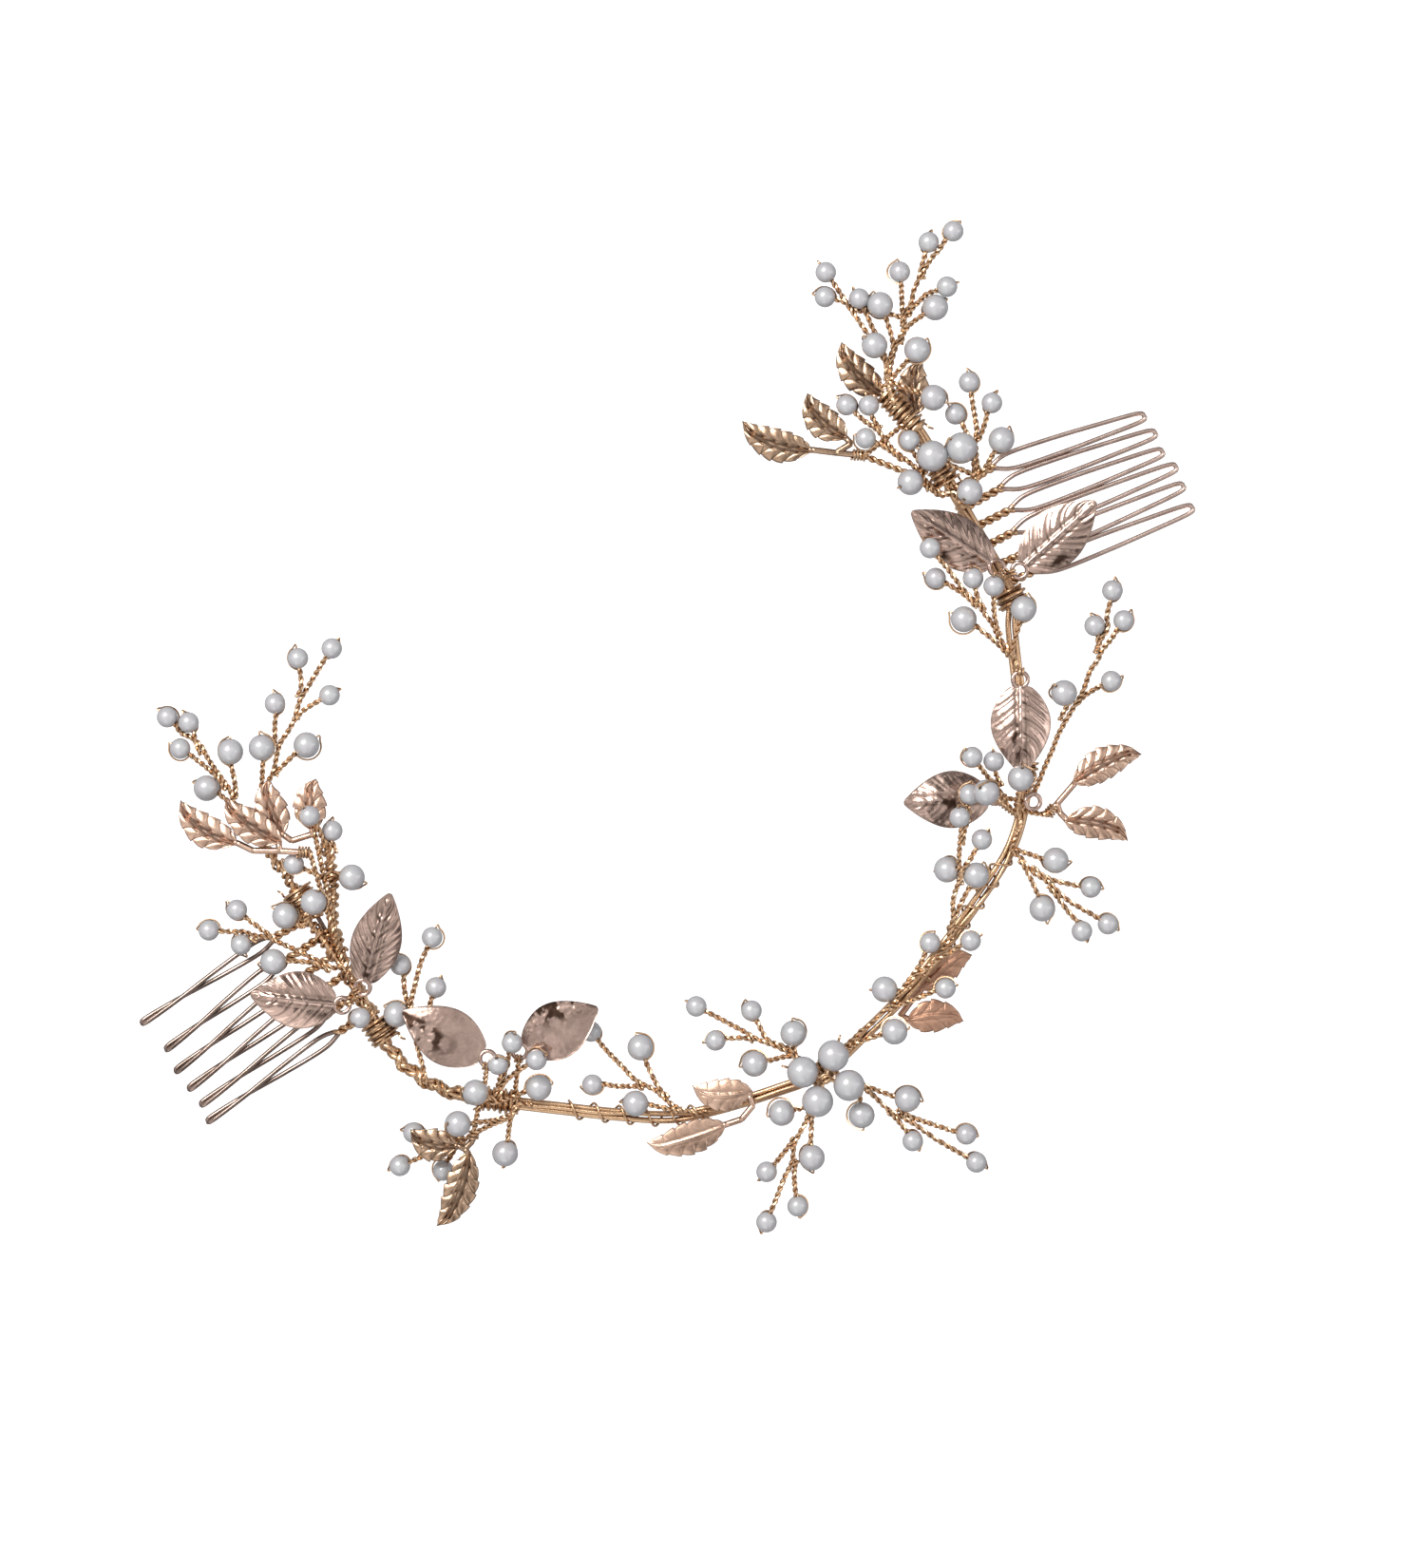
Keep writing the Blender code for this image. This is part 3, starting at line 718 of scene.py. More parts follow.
def spray_branches(node):
    """The beads of a spray, and for each the middle line of the stem or twig that ends in it."""
    corners, _ = corners_of(node)
    beads = beads_of(corners)
    ends = [(centre, lengths(corners - centre) < radius + 0.05) for centre, radius in beads]
    knots, tree = tree_of(node, ends)
    bars = list(range(len(beads), len(knots)))
    loose = [k for k in bars if len(tree[k]) <= 1]
    anchors = np.vstack([BAND, HUB])
    root = min(loose or bars, key=lambda k: lengths(anchors - knots[k]).min())
    return beads, [branch for branch in lines_from(root, knots, tree) if branch[0] < len(beads)]


def lead_in(branch, before):
    """A branch's knots but the last, after the way it runs in beside its stem or along the band."""
    if before is not None:
        back = before - branch[0]
        side = branch[1] - branch[0]
        side = unit(side - unit(back) * (side @ unit(back)) + 0.01 * UP)
        reach = min(1.0, LEAD_LENGTH / np.linalg.norm(back))
        return [branch[0] + reach * back + 0.75 * side, branch[0] + 0.25 * back + 0.7 * side, *branch[1:-1]]
    if np.linalg.norm(HUB - branch[0]) < HUB_REACH:
        way = unit((HUB - branch[0]) * LEVEL)
        return [HUB + 0.4 * way, HUB - 1.6 * way + 0.3 * UP, *branch[:-1]]
    near = lengths(BAND - branch[0]).argmin()
    gap = BAND[near] - branch[0]
    if np.linalg.norm(gap) > MOST_ANCHOR:
        return list(branch[:-1])
    on = unit(BAND[min(near + 4, len(BAND) - 1)] - BAND[max(near - 4, 0)])
    on = on * -np.sign(on @ (branch[1] - branch[0]))
    return [BAND[near] + 1.15 * UP + 3.5 * on, BAND[near] + 1.25 * UP + 1.0 * on, *branch[:-1]]


def make_spray(node):
    beads, branches = spray_branches(node)
    rng = np.random.default_rng(1000 + len(node) * 7 + len(beads))
    pearls, stems = [], []
    for number, branch, before in branches:
        centre, radius = beads[number]
        axis = unit(branch[-1] - branch[-2])
        pearls.append(bored_bead(centre, axis, radius))
        stems.append(loop_round_bead(centre, axis, radius, rng))
        line = smooth_line(lead_in(branch, before) + [centre - (radius - 0.1) * axis], 0.4)
        swing = np.sin(math.pi * np.linspace(0, 1, len(line)))[:, None]
        line = line + swing * rng.normal(0, 0.2, 3) * min(1.0, len(line) / 20)
        line = clear_of(line, [bead for k, bead in enumerate(beads) if k != number])
        stems += twisted(line, phase=rng.uniform(0, math.tau), pitch=STRAND_PITCH * rng.uniform(0.9, 1.1))
    make_piece(node + "_pearls", pearls, PEARL, "pearl", [node])
    make_wires(node + "_stems", stems, node)


def is_pearl(node):
    return NODES[node].data.materials[0].name.startswith("pearl")


def make_sprays():
    for node in sorted(NODES):
        if is_pearl(node) and not node.startswith("centre_pearl"):
            make_spray(node)


# The band: two core wires, a third over them and a fourth under them, roped together up the left arm.


def band_lines():
    """The two core wires' lines, twisted about each other where the left arm is roped, and their middle."""
    outer = smooth_line(tube_path("vine_wire_outer", CORE_RADIUS), BAND_STEP)
    inner = smooth_line(tube_path("vine_wire_inner", CORE_RADIUS), BAND_STEP)
    run = BAND_STEP * np.arange(len(outer))
    gaps = np.linalg.norm(outer[:, None, :] - inner[None, :, :], axis=2)
    beside = gaps.min(axis=1) < BESIDE
    first = np.flatnonzero(beside)[0]
    comb_low = box_of("left_comb_front_lashing")[0]
    last = np.flatnonzero((outer[:, 1] < comb_low[1] - ROPE_START) & beside)[0]
    turns = round((run[last] - run[first]) / ROPE_PITCH)
    phase = math.tau * turns * clamp((run[last] - run) / (run[last] - run[first]))
    along = ways_along(outer)
    left = left_of(along)
    over = np.cross(along, left)

    def roped(line, other):
        near = np.linalg.norm(line[:, None, :] - outer[None, :, :], axis=2).argmin(axis=1)
        partner = np.linalg.norm(line[:, None, :] - other[None, :, :], axis=2).argmin(axis=1)
        half = (line - other[partner]) / 2
        size = lengths(half)
        side = np.sign(np.sum(half * left[near], axis=1))
        turned = circling(phase[near], left[near], over[near])
        placed = line - half + (side * size)[:, None] * turned
        return np.where((size < 0.75)[:, None], placed, line)

    middle = (outer[beside] + inner[gaps.argmin(axis=1)][beside]) / 2
    return roped(outer, inner), roped(inner, outer), middle


def make_band():
    rng = np.random.default_rng(5)
    outer, inner, middle = band_lines()
    rope = middle[: int(ROPE_LENGTH / BAND_STEP)]
    left = np.cross(UP, ways_along(middle))
    run = BAND_STEP * np.arange(len(middle))
    sway = 0.5 * np.sin(run / 9.0) + 0.25 * np.sin(run / 3.7)
    third = middle + sway[:, None] * left + (0.55 + 0.1 * np.cos(run / 5.0))[:, None] * UP
    fourth = middle - sway[:, None] * left - 0.5 * UP
    outer_tail = outer[: np.flatnonzero(outer[:, 1] < middle[0, 1] + 1)[0]]
    inner_tail = inner[: np.flatnonzero(inner[:, 1] < middle[0, 1] + 1)[0]]
    outer_shapes = [
        sweep(outer, FULL_RADIUS, 10),
        sweep(smooth_line(third[::4], BAND_STEP), CORE_RADIUS, 10),
        sweep(smooth_line(fourth[::4], BAND_STEP), CORE_RADIUS, 10),
        wound(outer_tail, 0.85, 0.8, 1.7, THICK_THREAD, rng, wobble=0.1),
        wound(outer_tail, 1.15, 1.05, 4.1, THIN_THREAD, rng, wobble=0.15),
        wound(rope, 1.2, 1.1, ROPE_PITCH, 0.42, rng, wobble=0.06),
        wound(rope[3:], 1.25, 1.15, ROPE_PITCH * 0.92, THICK_THREAD, rng, wobble=0.08),
    ]
    inner_shapes = [
        sweep(inner, FULL_RADIUS, 10),
        wound(inner_tail, 0.85, 0.8, 1.8, THICK_THREAD, rng, wobble=0.1),
        wound(inner_tail, 1.1, 1.0, 3.7, THIN_THREAD, rng, wobble=0.15),
    ]
    make_wires("band_outer_wires", outer_shapes, "vine_wire_outer")
    make_wires("band_inner_wires", inner_shapes, "vine_wire_inner")


def make_wraps():
    for node in ("front_left_wrap_wire", "right_arm_wrap_wire"):
        line = smooth_line(tube_path(node, THREAD_RADIUS), 0.3)
        make_wires(node + "_thread", [sweep(line, WRAP_RADIUS, 8)], node)


# Bindings: thread wound tightly over the band and whatever is tied to it.


def coil_line(node):
    """The straight middle line of a CAD coil, and how far the thread lies to its sides and above it."""
    path = tube_path(node, THREAD_RADIUS)
    travel = path[-1] - path[0]
    share = np.linspace(0, 1, len(path))[:, None]
    rest = path - travel * share
    low, high = rest.min(axis=0), rest.max(axis=0)
    centre = (low + high) / 2
    along = unit(travel)
    left = unit(np.cross(UP, along))
    half_width = np.abs((rest - centre) @ left).max()
    return np.array([centre, centre + travel]), half_width, (high[2] - low[2]) / 2


LONGER_BINDINGS = {"right_crown_binding": 3.0, "front_left_binding": 1.2}


def make_binding(node):
    line, half_width, half_height = coil_line(node)
    rng = np.random.default_rng(len(node) * 13)
    along = unit(line[1] - line[0])
    more = LONGER_BINDINGS.get(node, 0.5)
    longer = np.array([line[0] - more * along, line[1] + more * along])
    if node.endswith("_front_lashing"):
        half_width, half_height = half_width + 0.3, half_height + 0.2
    shapes = [wound(longer, half_width, half_height, COIL_PITCH, COIL_RADIUS, rng, wobble=0.02)]
    second = longer[::-1] + 0.1 * UP
    shapes.append(wound(second, half_width + 0.45, half_height + 0.42, 1.1, COIL_RADIUS, rng, 0.05))
    for end in (-1, 1):
        side = unit(np.cross(UP, along)) * end
        base = longer[(end + 1) // 2] + side * (half_width + 0.2)
        tail = [base, base + end * along * 0.9 + UP * 0.4, base + end * along * 1.6 + side * 0.5 - UP * 0.3]
        shapes.append(sweep(smooth_line(tail, 0.2), 0.22, 6))
    make_wires(node + "_coil", shapes, node)


def make_sprig_wire():
    node = "right_wing_sprig_wire"
    rng = np.random.default_rng(7)
    line = smooth_line(tube_path(node, CORE_RADIUS), 0.4)
    end = max((0, -1), key=lambda k: line[k][1])
    line = line if end == -1 else line[::-1]
    line = np.vstack([line, line[-1] + np.arange(1, 7)[:, None] * (line[-1] - line[-2])])
    shapes = twisted(line, 0.36, 3.4, sides=8)
    make_wires(node + "_twist", shapes, node)


# Combs: each tooth is a hairpin, and its two ends are twisted together on the way to the bar.

# Where the legs of a rolled tooth turn out of level, from root to tip, and how much of that lifts them.
ROLL_ANGLES = np.array([0.25, 0.36, 0.52, 0.66, 0.66]) * math.pi
ROLL_LIFTS = np.array([1, 1, 1, 0.8, 0.4])


def make_comb(node, rolled):
    path = tube_path(node, CORE_RADIUS)
    starts = range(1, len(path) - 1, TOOTH_POINTS)
    side = unit(path[-1] - path[0])
    away = unit(np.cross(side, UP))
    shapes = [sweep(resample(path[[0, -1]], 0.5), COMB_RADIUS, 10)]
    stubs = []
    for tooth in (path[start : start + TOOTH_POINTS] for start in starts):
        middle = (tooth[:8] + tooth[:6:-1]) / 2
        stubs += twisted(smooth_line(middle[:3], 0.25), COMB_RADIUS, STUB_PITCH, sides=10)
        out = unit(middle[2] - middle[1])
        legs = []
        for way in (-1, 1):
            lead = np.array([middle[2] - 0.9 * out, middle[2] + 0.1 * out + way * 0.55 * side])
            limb = tooth[3:8] if way == np.sign((tooth[3] - middle[3]) @ side) else tooth[7:12][::-1]
            if rolled:
                reach = (limb - middle[3:8]) @ side
                limb = middle[3:8] + (reach * np.cos(ROLL_ANGLES))[:, None] * side
                lift = (way * 0.5 + 0.5) * (np.sin(ROLL_ANGLES) * 0.95)[:, None]
                limb += lift * UP * ROLL_LIFTS[:, None]
            legs.append(np.vstack([lead, limb]))
        wire = smooth_line(np.vstack([legs[0], legs[1][:-1][::-1]]), 0.35)
        shapes.append(sweep(wire, COMB_RADIUS, 10))
        turn = np.linspace(0, math.tau * 1.6, 30)
        hook = middle[0] + HOOK_REACH * circling(turn, away, UP)
        hook += np.linspace(-0.75, 0.75, len(turn))[:, None] * side
        stubs.append(sweep(hook, HOOK_RADIUS, 8))
    make_piece(node + "_hairpins", shapes, COMB_AGED if rolled else COMB_METAL, "comb_wire", [node])
    make_wires(node + "_stubs", stubs, node)


# Stamped leaves: a thin plate with pressed veins, and a rolled eyelet at its base.


def leaf_place(node):
    """The eyelet's centre, the directions along and across the leaf, and its length, width and cup."""
    corners, _ = corners_of(node)
    hinge = [joint for joint in frame["joints"] if joint["child"] == node][0]
    base = np.array(hinge["pos_m"]) / MM
    far = corners[np.argsort(lengths(corners - base))[-8:]]
    tip = far.mean(axis=0)
    length = np.linalg.norm(tip - base)
    along = unit(tip - base)
    left = unit(np.cross(UP, along))
    lifts = (corners - base) @ np.cross(along, left)
    across = np.abs((corners - base) @ left)
    edge = lifts[across > across.max() - 0.05].mean()
    return base, along, left, length, 2 * across.max(), max(0.6, lifts.max() - edge)


def grain(x, y, coarse, fine, shift):
    """Coarse and fine noise at each place of a grid, in millimetres across a lump."""

    def at(a, b):
        broad = noise.noise(Vector((a / coarse, b / coarse, shift)))
        return broad + 0.5 * noise.noise(Vector((a / fine, b / fine, shift + 9)))

    return np.array([[at(a, b) for a, b in zip(row_x, row_y)] for row_x, row_y in zip(x, y)])


def bell(gap, width):
    """1 where the gap is nothing, falling away over the width."""
    return np.exp(-((gap / width) ** 2))


def leaf_grid(rows, columns):
    """Places along a leaf from 0 to 1, across it from -1 to 1, and the same across without the sign."""
    v = np.linspace(-1, 1, columns)[None, :]
    return np.linspace(0, 1, rows)[:, None], v, np.abs(v)


def stamped_shape(length, width, cup, look, rng):
    """The plate in its own frame, eyelet at the origin and tip along +X, and how much each corner is darkened
    by painted shade, painted dark reflection and the darker rim.
    """
    u, v, side = leaf_grid(84, 41)
    arch = np.sin(math.pi * u)
    start = EYELET_REACH - 0.25
    base_half = 1.35 * (1 - u) ** 3 + 0.3
    half = base_half + (width / 2 - base_half) * np.sin(math.pi * u**0.8) ** 0.85
    x = start + (length - start) * (u + 0 * v)
    y = half * v
    rise = 0.8 * arch - cup * look["cup"] * (2 * y / width) ** 2
    rise -= look["fold"] * (np.abs(y) / (width / 2)) * arch
    rise += look["curl"] * clamp((u - 0.72) / 0.28) ** 2
    rise += look["roll"] * v * side * arch
    phase = u * VEIN_COUNT - 1.5 * side**1.15 + 0.15 * np.sin(3 * v) + rng.uniform(-0.2, 0.2)
    vein = np.exp(-((phase - np.round(phase)) ** 2) / 0.009)
    fade = clamp(u / 0.1) * clamp((1 - u) / 0.12) * clamp((1.02 - side) / 0.2)
    relief = look["relief"]
    along_vein = fade * clamp(side / 0.08)
    rise += relief * 0.22 * vein * along_vein
    rise -= relief * 0.12 * np.cos(math.tau * phase) * fade * clamp(side / 0.25)
    rise += relief * 0.34 * np.exp(-((y / 0.42) ** 2)) * clamp((1 - u) / 0.25)
    gutters = bell(y - 0.85, 0.4) + bell(y + 0.85, 0.4)
    rise -= relief * 0.18 * gutters * fade
    lumps = grain(x, y, 2.3, 0.9, rng.uniform(0, 50))
    spot_u, spot_v, reach = look["spot"]
    spot = np.exp(-(((u - spot_u) / reach) ** 2) - ((v - spot_v) / (1.6 * reach)) ** 2)
    rise += (look["dents"] + 0.16 * look["crumple"] * spot) * lumps
    rise += 0.12 * clamp((side - 0.9) / 0.1) * (1 - relief)
    # Painted shade: a dark line just below each raised vein, and in the gutters beside the midrib.
    below_vein = np.exp(-((phase + 0.16 - np.round(phase + 0.16)) ** 2) / 0.006)
    stain = 0.85 * relief * below_vein * along_vein + 0.45 * relief * clamp(gutters) * fade
    # Painted reflection: a blotchy near-black patch over the crumpled spot, where a dark reflection would
    # lie.
    marks = grain(x, y, 1.7, 0.6, rng.uniform(0, 50))
    stain += look["patch"] * spot * np.clip(0.6 + 3.4 * marks, 0, 1.2)
    # The rim and tip are made darker.
    stain += 0.6 * clamp((side - 0.92) / 0.08) + 0.5 * clamp((u - 0.93) / 0.07)
    points, faces = sheet(x, y, rise + PLATE_HALF, rise - PLATE_HALF)
    return points, faces, np.tile(stain.reshape(-1), 2)


def look(spot, relief, crumple, patch, cup=1.0, fold=0.0, curl=0.2, roll=0.0, dents=0.05):
    """How a leaf is cupped and bent, how deep its veins are, and how it is crumpled in one spot with a
    painted dark reflection over it.

    The spot is its place along and across the leaf, and its size.
    """
    return locals()


LOOKS = {
    "right_comb_inner_leaf": look((0.5, 0.75, 0.12), 0.8, 0.4, 1.0, cup=0.8, fold=0.5, roll=0.4),
    "right_comb_outer_leaf": look((0.3, -0.7, 0.13), 0.8, 0.4, 1.0, cup=0.5, fold=0.1, curl=0.9, roll=-0.1),
    "left_comb_inner_leaf": look((0.08, 0.0, 0.16), 0.9, 0.2, 0.9, fold=0.3, curl=0.4, roll=0.3, dents=0.04),
    "left_comb_outer_leaf": look((0.1, 0.5, 0.14), 0.7, 0.2, 0.9, fold=0.2, roll=-0.3, dents=0.04),
    "front_left_inner_leaf": look((0.74, 0.35, 0.36), 0.05, 1.0, 1.5, cup=0.2, curl=-0.2, roll=0.2),
    "front_left_outer_leaf": look((0.58, 0.8, 0.38), 0.05, 1.0, 1.4, cup=0.2, curl=-0.2),
    "right_arm_long_leaf": look((0.62, -0.2, 0.22), 0.8, 0.5, 0.9, fold=0.3, curl=0.1, roll=0.1, dents=0.06),
    "right_arm_wide_leaf": look((0.5, 0.1, 0.22), 0.4, 0.9, 1.0, fold=0.1, roll=0.2, dents=0.06),
}


def make_stamped_leaf(node):
    base, along, left, length, width, cup = leaf_place(node)
    rng = np.random.default_rng(len(node) * 17)
    points, faces, stain = stamped_shape(length, width, cup, LOOKS[node], rng)
    plate = (place(points, base, along, left), faces)
    eyelet = ring(base, np.cross(along, left), EYELET_RADIUS, EYELET_WIRE)
    make_piece(node + "_plate", [plate, eyelet], STAMPED, "stamped_leaf", [node], stain)
    make_leaf_tie(node, base, along, left)


def make_spare_eyelet():
    """A lone eyelet on the right arm, tied in where a spray leaves the band."""
    _, branches = spray_branches("right_arm_high_spray")
    root = [branch for _, branch, before in branches if before is None][0][0]
    centre = root + np.array([-1.0, -1.4, 1.4])
    eyelet = ring(centre, UP + np.array([0.15, -0.1, 0]), EYELET_RADIUS, 0.45)
    make_piece("right_arm_spare_eyelet", [eyelet], STAMPED, "stamped_leaf", [])


def make_leaf_tie(node, base, along, left):
    """Wire that goes twice through the eyelet and runs, twisted, to the band."""
    near = BAND[lengths(BAND - base).argmin()]
    away = near - base
    flat = np.linalg.norm(away[:2])
    toward = unit(away * LEVEL) if flat > 0.6 else -along
    turn = np.linspace(0, 2.2 * math.tau, 48)
    middle = base + EYELET_RADIUS * toward
    over = np.cross(along, left)
    loops = middle + 0.66 * circling(turn, toward, over)
    loops += np.linspace(-0.7, 0.7, len(turn))[:, None] * np.cross(over, toward)
    shapes = [sweep(loops, TIE_RADIUS, 6)]
    if flat > EYELET_REACH + 0.8:
        line = [middle + 0.5 * toward, (middle + near) / 2 + 0.5 * UP, near + 0.9 * UP]
        shapes += twisted(smooth_line(line, 0.3), pitch=TIE_PITCH)
    make_wires(node + "_tie", shapes)


# Cast sprigs: small saw-edged leaves with deep ribs, cast with their stalks.

# How far each sprig's two leaves bow to one side, in millimetres.
BOWS = {
    "left_crown_front_sprig": (1.2, 0.6),
    "left_crown_back_sprig": (0.3, 0.3),
    "front_left_sprig": (0.8, 0.8),
    "front_middle_sprig": (0.5, 0.8),
    "right_front_sprig": (0.5, 0.5),
    "right_arm_sprig": (0.9, 0.7),
    "right_wing_sprig": (1.2, 0.9),
    "right_crown_sprig": (0.9, 0.7),
}
FLAT_SPRIGS = {"front_middle_sprig": 0.25, "right_front_sprig": 0.35}
# Three sprigs take the darker painted-shade copy of the cast metal, and one takes copper.
SPRIG_METALS = {
    "front_left_sprig": CAST_AGED,
    "right_crown_sprig": CAST_AGED,
    "right_wing_sprig": CAST_AGED,
    "right_front_sprig": CAST_COPPER,
}


def cast_leaves(node):
    """Each small leaf's tip, its direction from tip to base, its length, and the mask of its corners."""
    corners, triangles = corners_of(node)
    near = neighbours_of(triangles, len(corners))
    leaves = []
    for corner in corners:
        flat = lengths((corners - corner)[:, :2])
        group = set(np.flatnonzero(flat < 0.8))
        row = np.array(sorted(set().union(*(near[k] for k in group)) - group))
        thick = np.ptp(corners[list(group)][:, 2])
        if len(row) < 5 or len(group) < 5 or thick < 0.9:
            continue
        tip = corners[list(group)].mean(axis=0)
        gap = (corners[row] - tip) * LEVEL
        way = unit(gap.mean(axis=0))
        left = np.cross(UP, way)
        wide = np.abs(gap @ left).max()
        known = any(np.linalg.norm(tip - other[0]) < 2 for other in leaves)
        if (gap @ way).min() < 1 or not 1.2 < wide < 2.05 or known:
            continue
        length = CAST_ROWS * (gap @ way).mean()
        inside = (np.abs((corners - tip) @ left) < CAST_WIDTH / 2) & (np.abs(corners[:, 2] - tip[2]) > 0.45)
        inside &= ((corners - tip) @ way > -0.5) & ((corners - tip) @ way < length + 0.2)
        leaves.append((tip, way, length, inside))
    return leaves


def cast_leaf_shape(length, bow, relief, rng):
    """A saw-edged leaf in its own frame, base at the origin and tip along +X, and how much painted shade and
    rim darkening each corner carries.
    """
    u, v, side = leaf_grid(121, 37)
    arch = np.sin(math.pi * u)
    count = round(length / SAW_PITCH)
    saw = np.mod(u * count + 0.25, 1.0)
    notch = (0.17 * saw**1.6 - 0.03) * clamp(u / 0.1) * clamp((1 - u) / 0.06)
    half = 0.45 + (CAST_WIDTH / 2 - 0.45) * np.sin(math.pi * u**0.82) ** 0.8 * (1 - notch)
    half = half * np.clip((1.01 - u) / 0.08, 0.2, 1)
    hook = 1.1 * np.sign(bow) * clamp((u - 0.8) / 0.2) ** 2
    y = half * v + bow * arch - hook
    x = length * (u + 0 * v) + 0.5 * side**2 * (1 - u)
    phase = u * count + 0.25 - 0.95 * side - 0.2 * np.sin(math.pi * side)
    swell = np.abs(np.sin(math.pi * phase)) ** 0.6
    fade = clamp(u / 0.06) * clamp((1 - u) / 0.1)
    rise = 0.55 * arch**0.6 * (1 - 0.75 * side**2)
    ribbed = clamp(side / 0.14) * clamp((1.08 - side) / 0.25)
    rise += relief * 0.24 * (swell - 0.6) * fade * ribbed
    rise += (0.1 + 0.26 * relief) * bell(side, 0.09) * clamp((1 - u) / 0.2)
    rise -= relief * 0.2 * bell(side - 0.22, 0.09) * fade
    rise += 0.35 * math.sin(rng.uniform(0, math.tau)) * v * arch
    rise += rng.uniform(-0.2, 0.5) * u**2
    # Painted shade: darker between the ribs and in the groove beside the midrib.
    between = clamp(1 - swell / 0.55) * fade * clamp((side - 0.1) / 0.15)
    stain = (0.25 + 0.65 * relief) * between + 0.7 * relief * bell(side - 0.2, 0.07) * fade
    # The rim and tip are made darker.
    stain += 0.85 * clamp((side - 0.9) / 0.1) + 0.8 * clamp((u - 0.95) / 0.05)
    points, faces = sheet(x, y, rise + 0.35, rise * 0.5 - 0.45)
    return points, faces, np.tile(stain.reshape(-1), 2)


def make_cast_sprig(node):
    leaves = cast_leaves(node)
    rng = np.random.default_rng(len(node) * 11 + len(leaves))
    shapes, bases, stains = [], [], []
    relief = FLAT_SPRIGS.get(node, 1.0)
    for (tip, way, length, inside), bow in zip(leaves, BOWS[node]):
        base = tip + way * length
        points, faces, stain = cast_leaf_shape(length, bow, relief, rng)
        shapes.append((place(points, base, -way, np.cross(UP, -way)), faces))
        stains.append(stain)
        bases.append((base - way * 0.6, inside))
    knots, tree = tree_of(node, bases)
    for a in range(len(knots)):
        for b in sorted(tree[a]):
            if a < b:
                shapes.append(sweep(resample(knots[[a, b]], 0.5), STALK_RADIUS, 12))
    material = SPRIG_METALS.get(node, CAST)
    make_piece(node + "_casting", shapes, material, "cast_leaf", [node], np.concatenate(stains))
    make_sprig_tie(node, knots, tree, len(bases), rng)


def make_sprig_tie(node, knots, tree, leaves, rng):
    """Thread wound round the casting's stalk, and its two ends twisted on the way to the band."""
    stalk = range(leaves, len(knots))
    loose = [k for k in stalk if len(tree[k]) == 1] or list(stalk)
    gaps = [lengths(BAND - knots[k]).min() for k in loose]
    end = loose[int(np.argmin(gaps))]
    inward = knots[min(tree[end])] - knots[end]
    start = knots[end] + 0.15 * inward / np.linalg.norm(inward)
    finish = knots[end] + min(2.6, 0.8 * np.linalg.norm(inward)) * unit(inward)
    shapes = [wound(np.array([start, finish]), 0.95, 0.9, 0.6, WRAP_RADIUS, rng, wobble=0.04)]
    near = BAND[lengths(BAND - knots[end]).argmin()] + 0.9 * UP
    if np.linalg.norm(near - start) > 1.5:
        sag = (near + start) / 2 + 0.4 * UP
        shapes += twisted(smooth_line([start + 0.8 * UP, sag, near], 0.3), pitch=TIE_PITCH)
    make_wires(node + "_tie", shapes, node)


# The cluster of four big pearls in the middle of the front.


def hub_place():
    """Where the wires of the centre cluster meet, in height between its foot and its pearls."""
    low, high = box_of("centre_cluster_wire")
    return np.array([*((low + high) / 2)[:2], low[2] + HUB_HEIGHT])


def make_centre_cluster():
    names = [node for node in sorted(NODES) if node.startswith("centre_pearl")]
    beads = {node: sum(box_of(node)) / 2 for node in names}
    hub = np.array([*HUB[:2], np.mean([centre[2] for centre in beads.values()])])
    rng = np.random.default_rng(23)
    shapes = []
    for node, centre in beads.items():
        axis = unit((centre - hub) * LEVEL)
        bead = bored_bead(centre, axis, BEAD_RADII[0], BIG_HOLE_RADIUS, 44, 31)
        make_piece(node + "_bead", [bead], PEARL, "pearl", [node])
        far = centre + axis * (BEAD_RADII[0] + 0.5)
        shapes.append(sweep(resample([hub, far], 0.4), ARM_RADIUS, 8))
        shapes.append(ring(far + 0.15 * axis, np.cross(axis, UP), 0.42, 0.2))
    turn = np.linspace(0, math.tau * 1.5, 60)
    for tilt in (0.0, 1.0, 2.1):
        swing = np.stack([np.cos(turn), np.sin(turn) * math.cos(tilt), np.sin(turn) * math.sin(tilt)], axis=1)
        reach = 0.85 + 0.1 * rng.normal(0, 1, len(turn)).cumsum()[:, None] / 12
        shapes.append(sweep(hub + swing * reach, 0.22, 8))
    foot = np.array([*HUB[:2], box_of("centre_cluster_wire")[0][2]])
    shapes += twisted([hub, (hub + foot) / 2 + np.array([0.15, 0.1, 0]), foot], 0.3, TIE_PITCH, sides=8)
    make_wires("centre_cluster_wire_twist", shapes, "centre_cluster_wire")


# Everything, then the floor, the light and the camera.


def make_object_pieces():
    make_sprays()
    make_band()
    make_wraps()
    for node in sorted(NODES):
        if node.endswith(("_binding", "_lashing")):
            make_binding(node)
        if node in LOOKS:
            make_stamped_leaf(node)
        if node.endswith("_sprig"):
            make_cast_sprig(node)
    make_sprig_wire()
    make_comb("left_comb", True)
    make_comb("right_comb", False)
    make_centre_cluster()
    make_spare_eyelet()


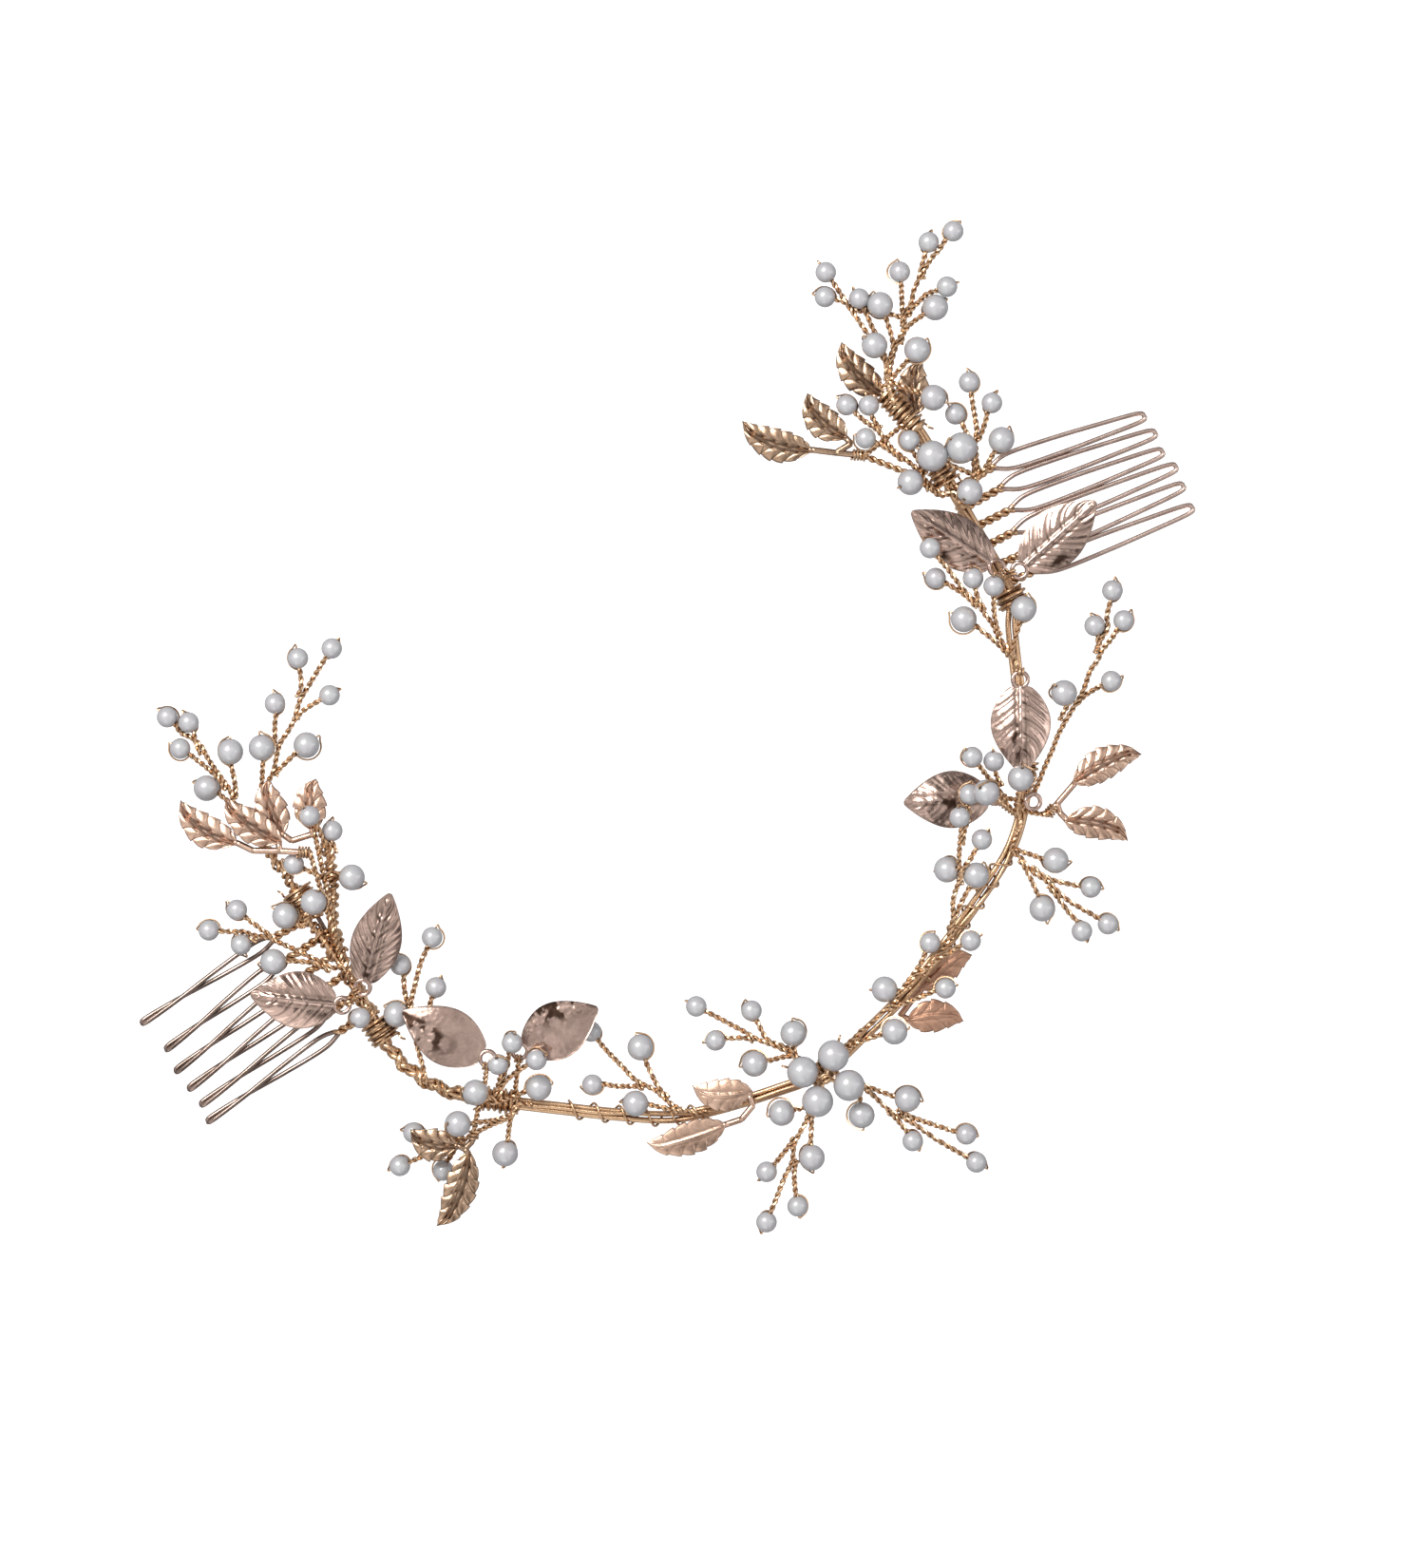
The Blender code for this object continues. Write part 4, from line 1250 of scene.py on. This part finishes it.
def make_floor():
    """A pale floor that the camera sees as white."""
    material, tree, shader = new_material("paper")
    seen = add_node(tree, "LightPath").outputs["Is Camera Ray"]
    glow = worked_out(tree, "MULTIPLY", seen, FLOOR_WHITE)
    white = {"Emission Color": (1, 1, 1), "Emission Strength": glow}
    feed(tree, shader, {"Base Color": FLOOR_GREY, "Roughness": 0.9, **white})
    mesh = bpy.data.meshes.new("floor")
    height = CAD_BOX[0][2] - FLOOR_DROP
    around = ((-1, -1), (1, -1), (1, 1), (-1, 1))
    mesh.from_pydata([(FLOOR_REACH * x, FLOOR_REACH * y, height) for x, y in around], [], [(0, 1, 2, 3)])
    mesh.materials.append(material)
    add_object("floor", mesh)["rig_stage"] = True


def make_light(name, place_at, aim, size, power, colour):
    data = bpy.data.lights.new(name, "AREA")
    data.shape = "RECTANGLE"
    data.size, data.size_y = size
    data.energy = power
    data.color = colour
    light = add_object(name, data)
    light.location = place_at
    light.rotation_euler = (aim - place_at).to_track_quat("-Z", "Y").to_euler()
    light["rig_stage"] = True


def make_world():
    """A white room seen by the camera, and a softer one with dark corners for the metal to mirror."""
    world = bpy.data.worlds.new("room")
    bpy.context.scene.world = world
    world.use_nodes = True
    tree = world.node_tree
    tree.nodes.clear()
    where = add_node(tree, "TexCoord").outputs["Generated"]
    height = ramp(tree, add_node(tree, "SeparateXYZ", {0: where}).outputs["Z"], [
        (0.0, (0.25, 0.24, 0.25)),
        (0.25, (0.45, 0.44, 0.45)),
        (0.6, (1.15, 1.14, 1.13)),
        (0.88, (0.95, 0.94, 0.93)),
        (1.0, (0.75, 0.74, 0.74)),
    ])
    patches = add_node(tree, "TexNoise", {"Scale": 3.2, "Detail": 1.0, "Vector": where}).outputs["Fac"]
    patchy = ramp(tree, patches, [(0.36, (0.04, 0.035, 0.035)), (0.46, 0.75), (0.62, 1.4)])
    glow = mixed(tree, 1.0, height, patchy, "MULTIPLY")
    room = add_node(tree, "Background", {"Color": glow, "Strength": ROOM_STRENGTH})
    white = add_node(tree, "Background", {"Color": (1, 1, 1), "Strength": 1.0})
    seen = add_node(tree, "LightPath").outputs["Is Camera Ray"]
    pick = add_node(tree, "MixShader", {0: seen, 1: room.outputs[0], 2: white.outputs[0]})
    add_node(tree, "OutputWorld", {"Surface": pick.outputs[0]})


def make_camera(aim, over):
    data = bpy.data.cameras.new("camera")
    data.sensor_width = 36
    data.lens = LENS
    camera = add_object("camera", data)
    camera.location = aim + over * (VIEW_HEIGHT * LENS / data.sensor_width)
    camera.rotation_euler = (0, 0, VIEW_TURN)
    bpy.context.scene.camera = camera
    bpy.context.scene.view_settings.view_transform = "Standard"


def make_stage():
    """Floor, room, lights and camera. Lights are placed by the photo's right, up and toward the camera."""
    make_floor()
    make_world()
    right = Vector((math.cos(VIEW_TURN), math.sin(VIEW_TURN), 0))
    up = Vector((-math.sin(VIEW_TURN), math.cos(VIEW_TURN), 0))
    over = Vector((0, 0, 1))
    middle = (Vector(CAD_BOX[0]) + Vector(CAD_BOX[1])) / 2
    aim = Vector((middle[0] + VIEW_SHIFT[0], middle[1] + VIEW_SHIFT[1], CAD_BOX[0][2] + VIEW_AIM))
    key = aim - 0.42 * right + 0.45 * up + 0.85 * over
    fill = aim + 0.9 * right + 0.1 * up + 0.5 * over
    low = aim - 0.2 * right - 0.9 * up + 0.35 * over
    make_light("key", key, aim, (0.55, 0.5), KEY_POWER, (1.0, 0.98, 0.96))
    make_light("fill", fill, aim, (0.3, 0.9), FILL_POWER, (0.97, 0.98, 1.0))
    make_light("low", low, aim, (0.8, 0.25), FILL_POWER * 0.6, (1.0, 1.0, 1.0))
    make_camera(aim, over)


BAND = band_lines()[2]
HUB = hub_place()
make_object_pieces()
make_stage()
boxes = [[list(map(float, corner)) for corner in box] for box in (CAD_BOX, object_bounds())]
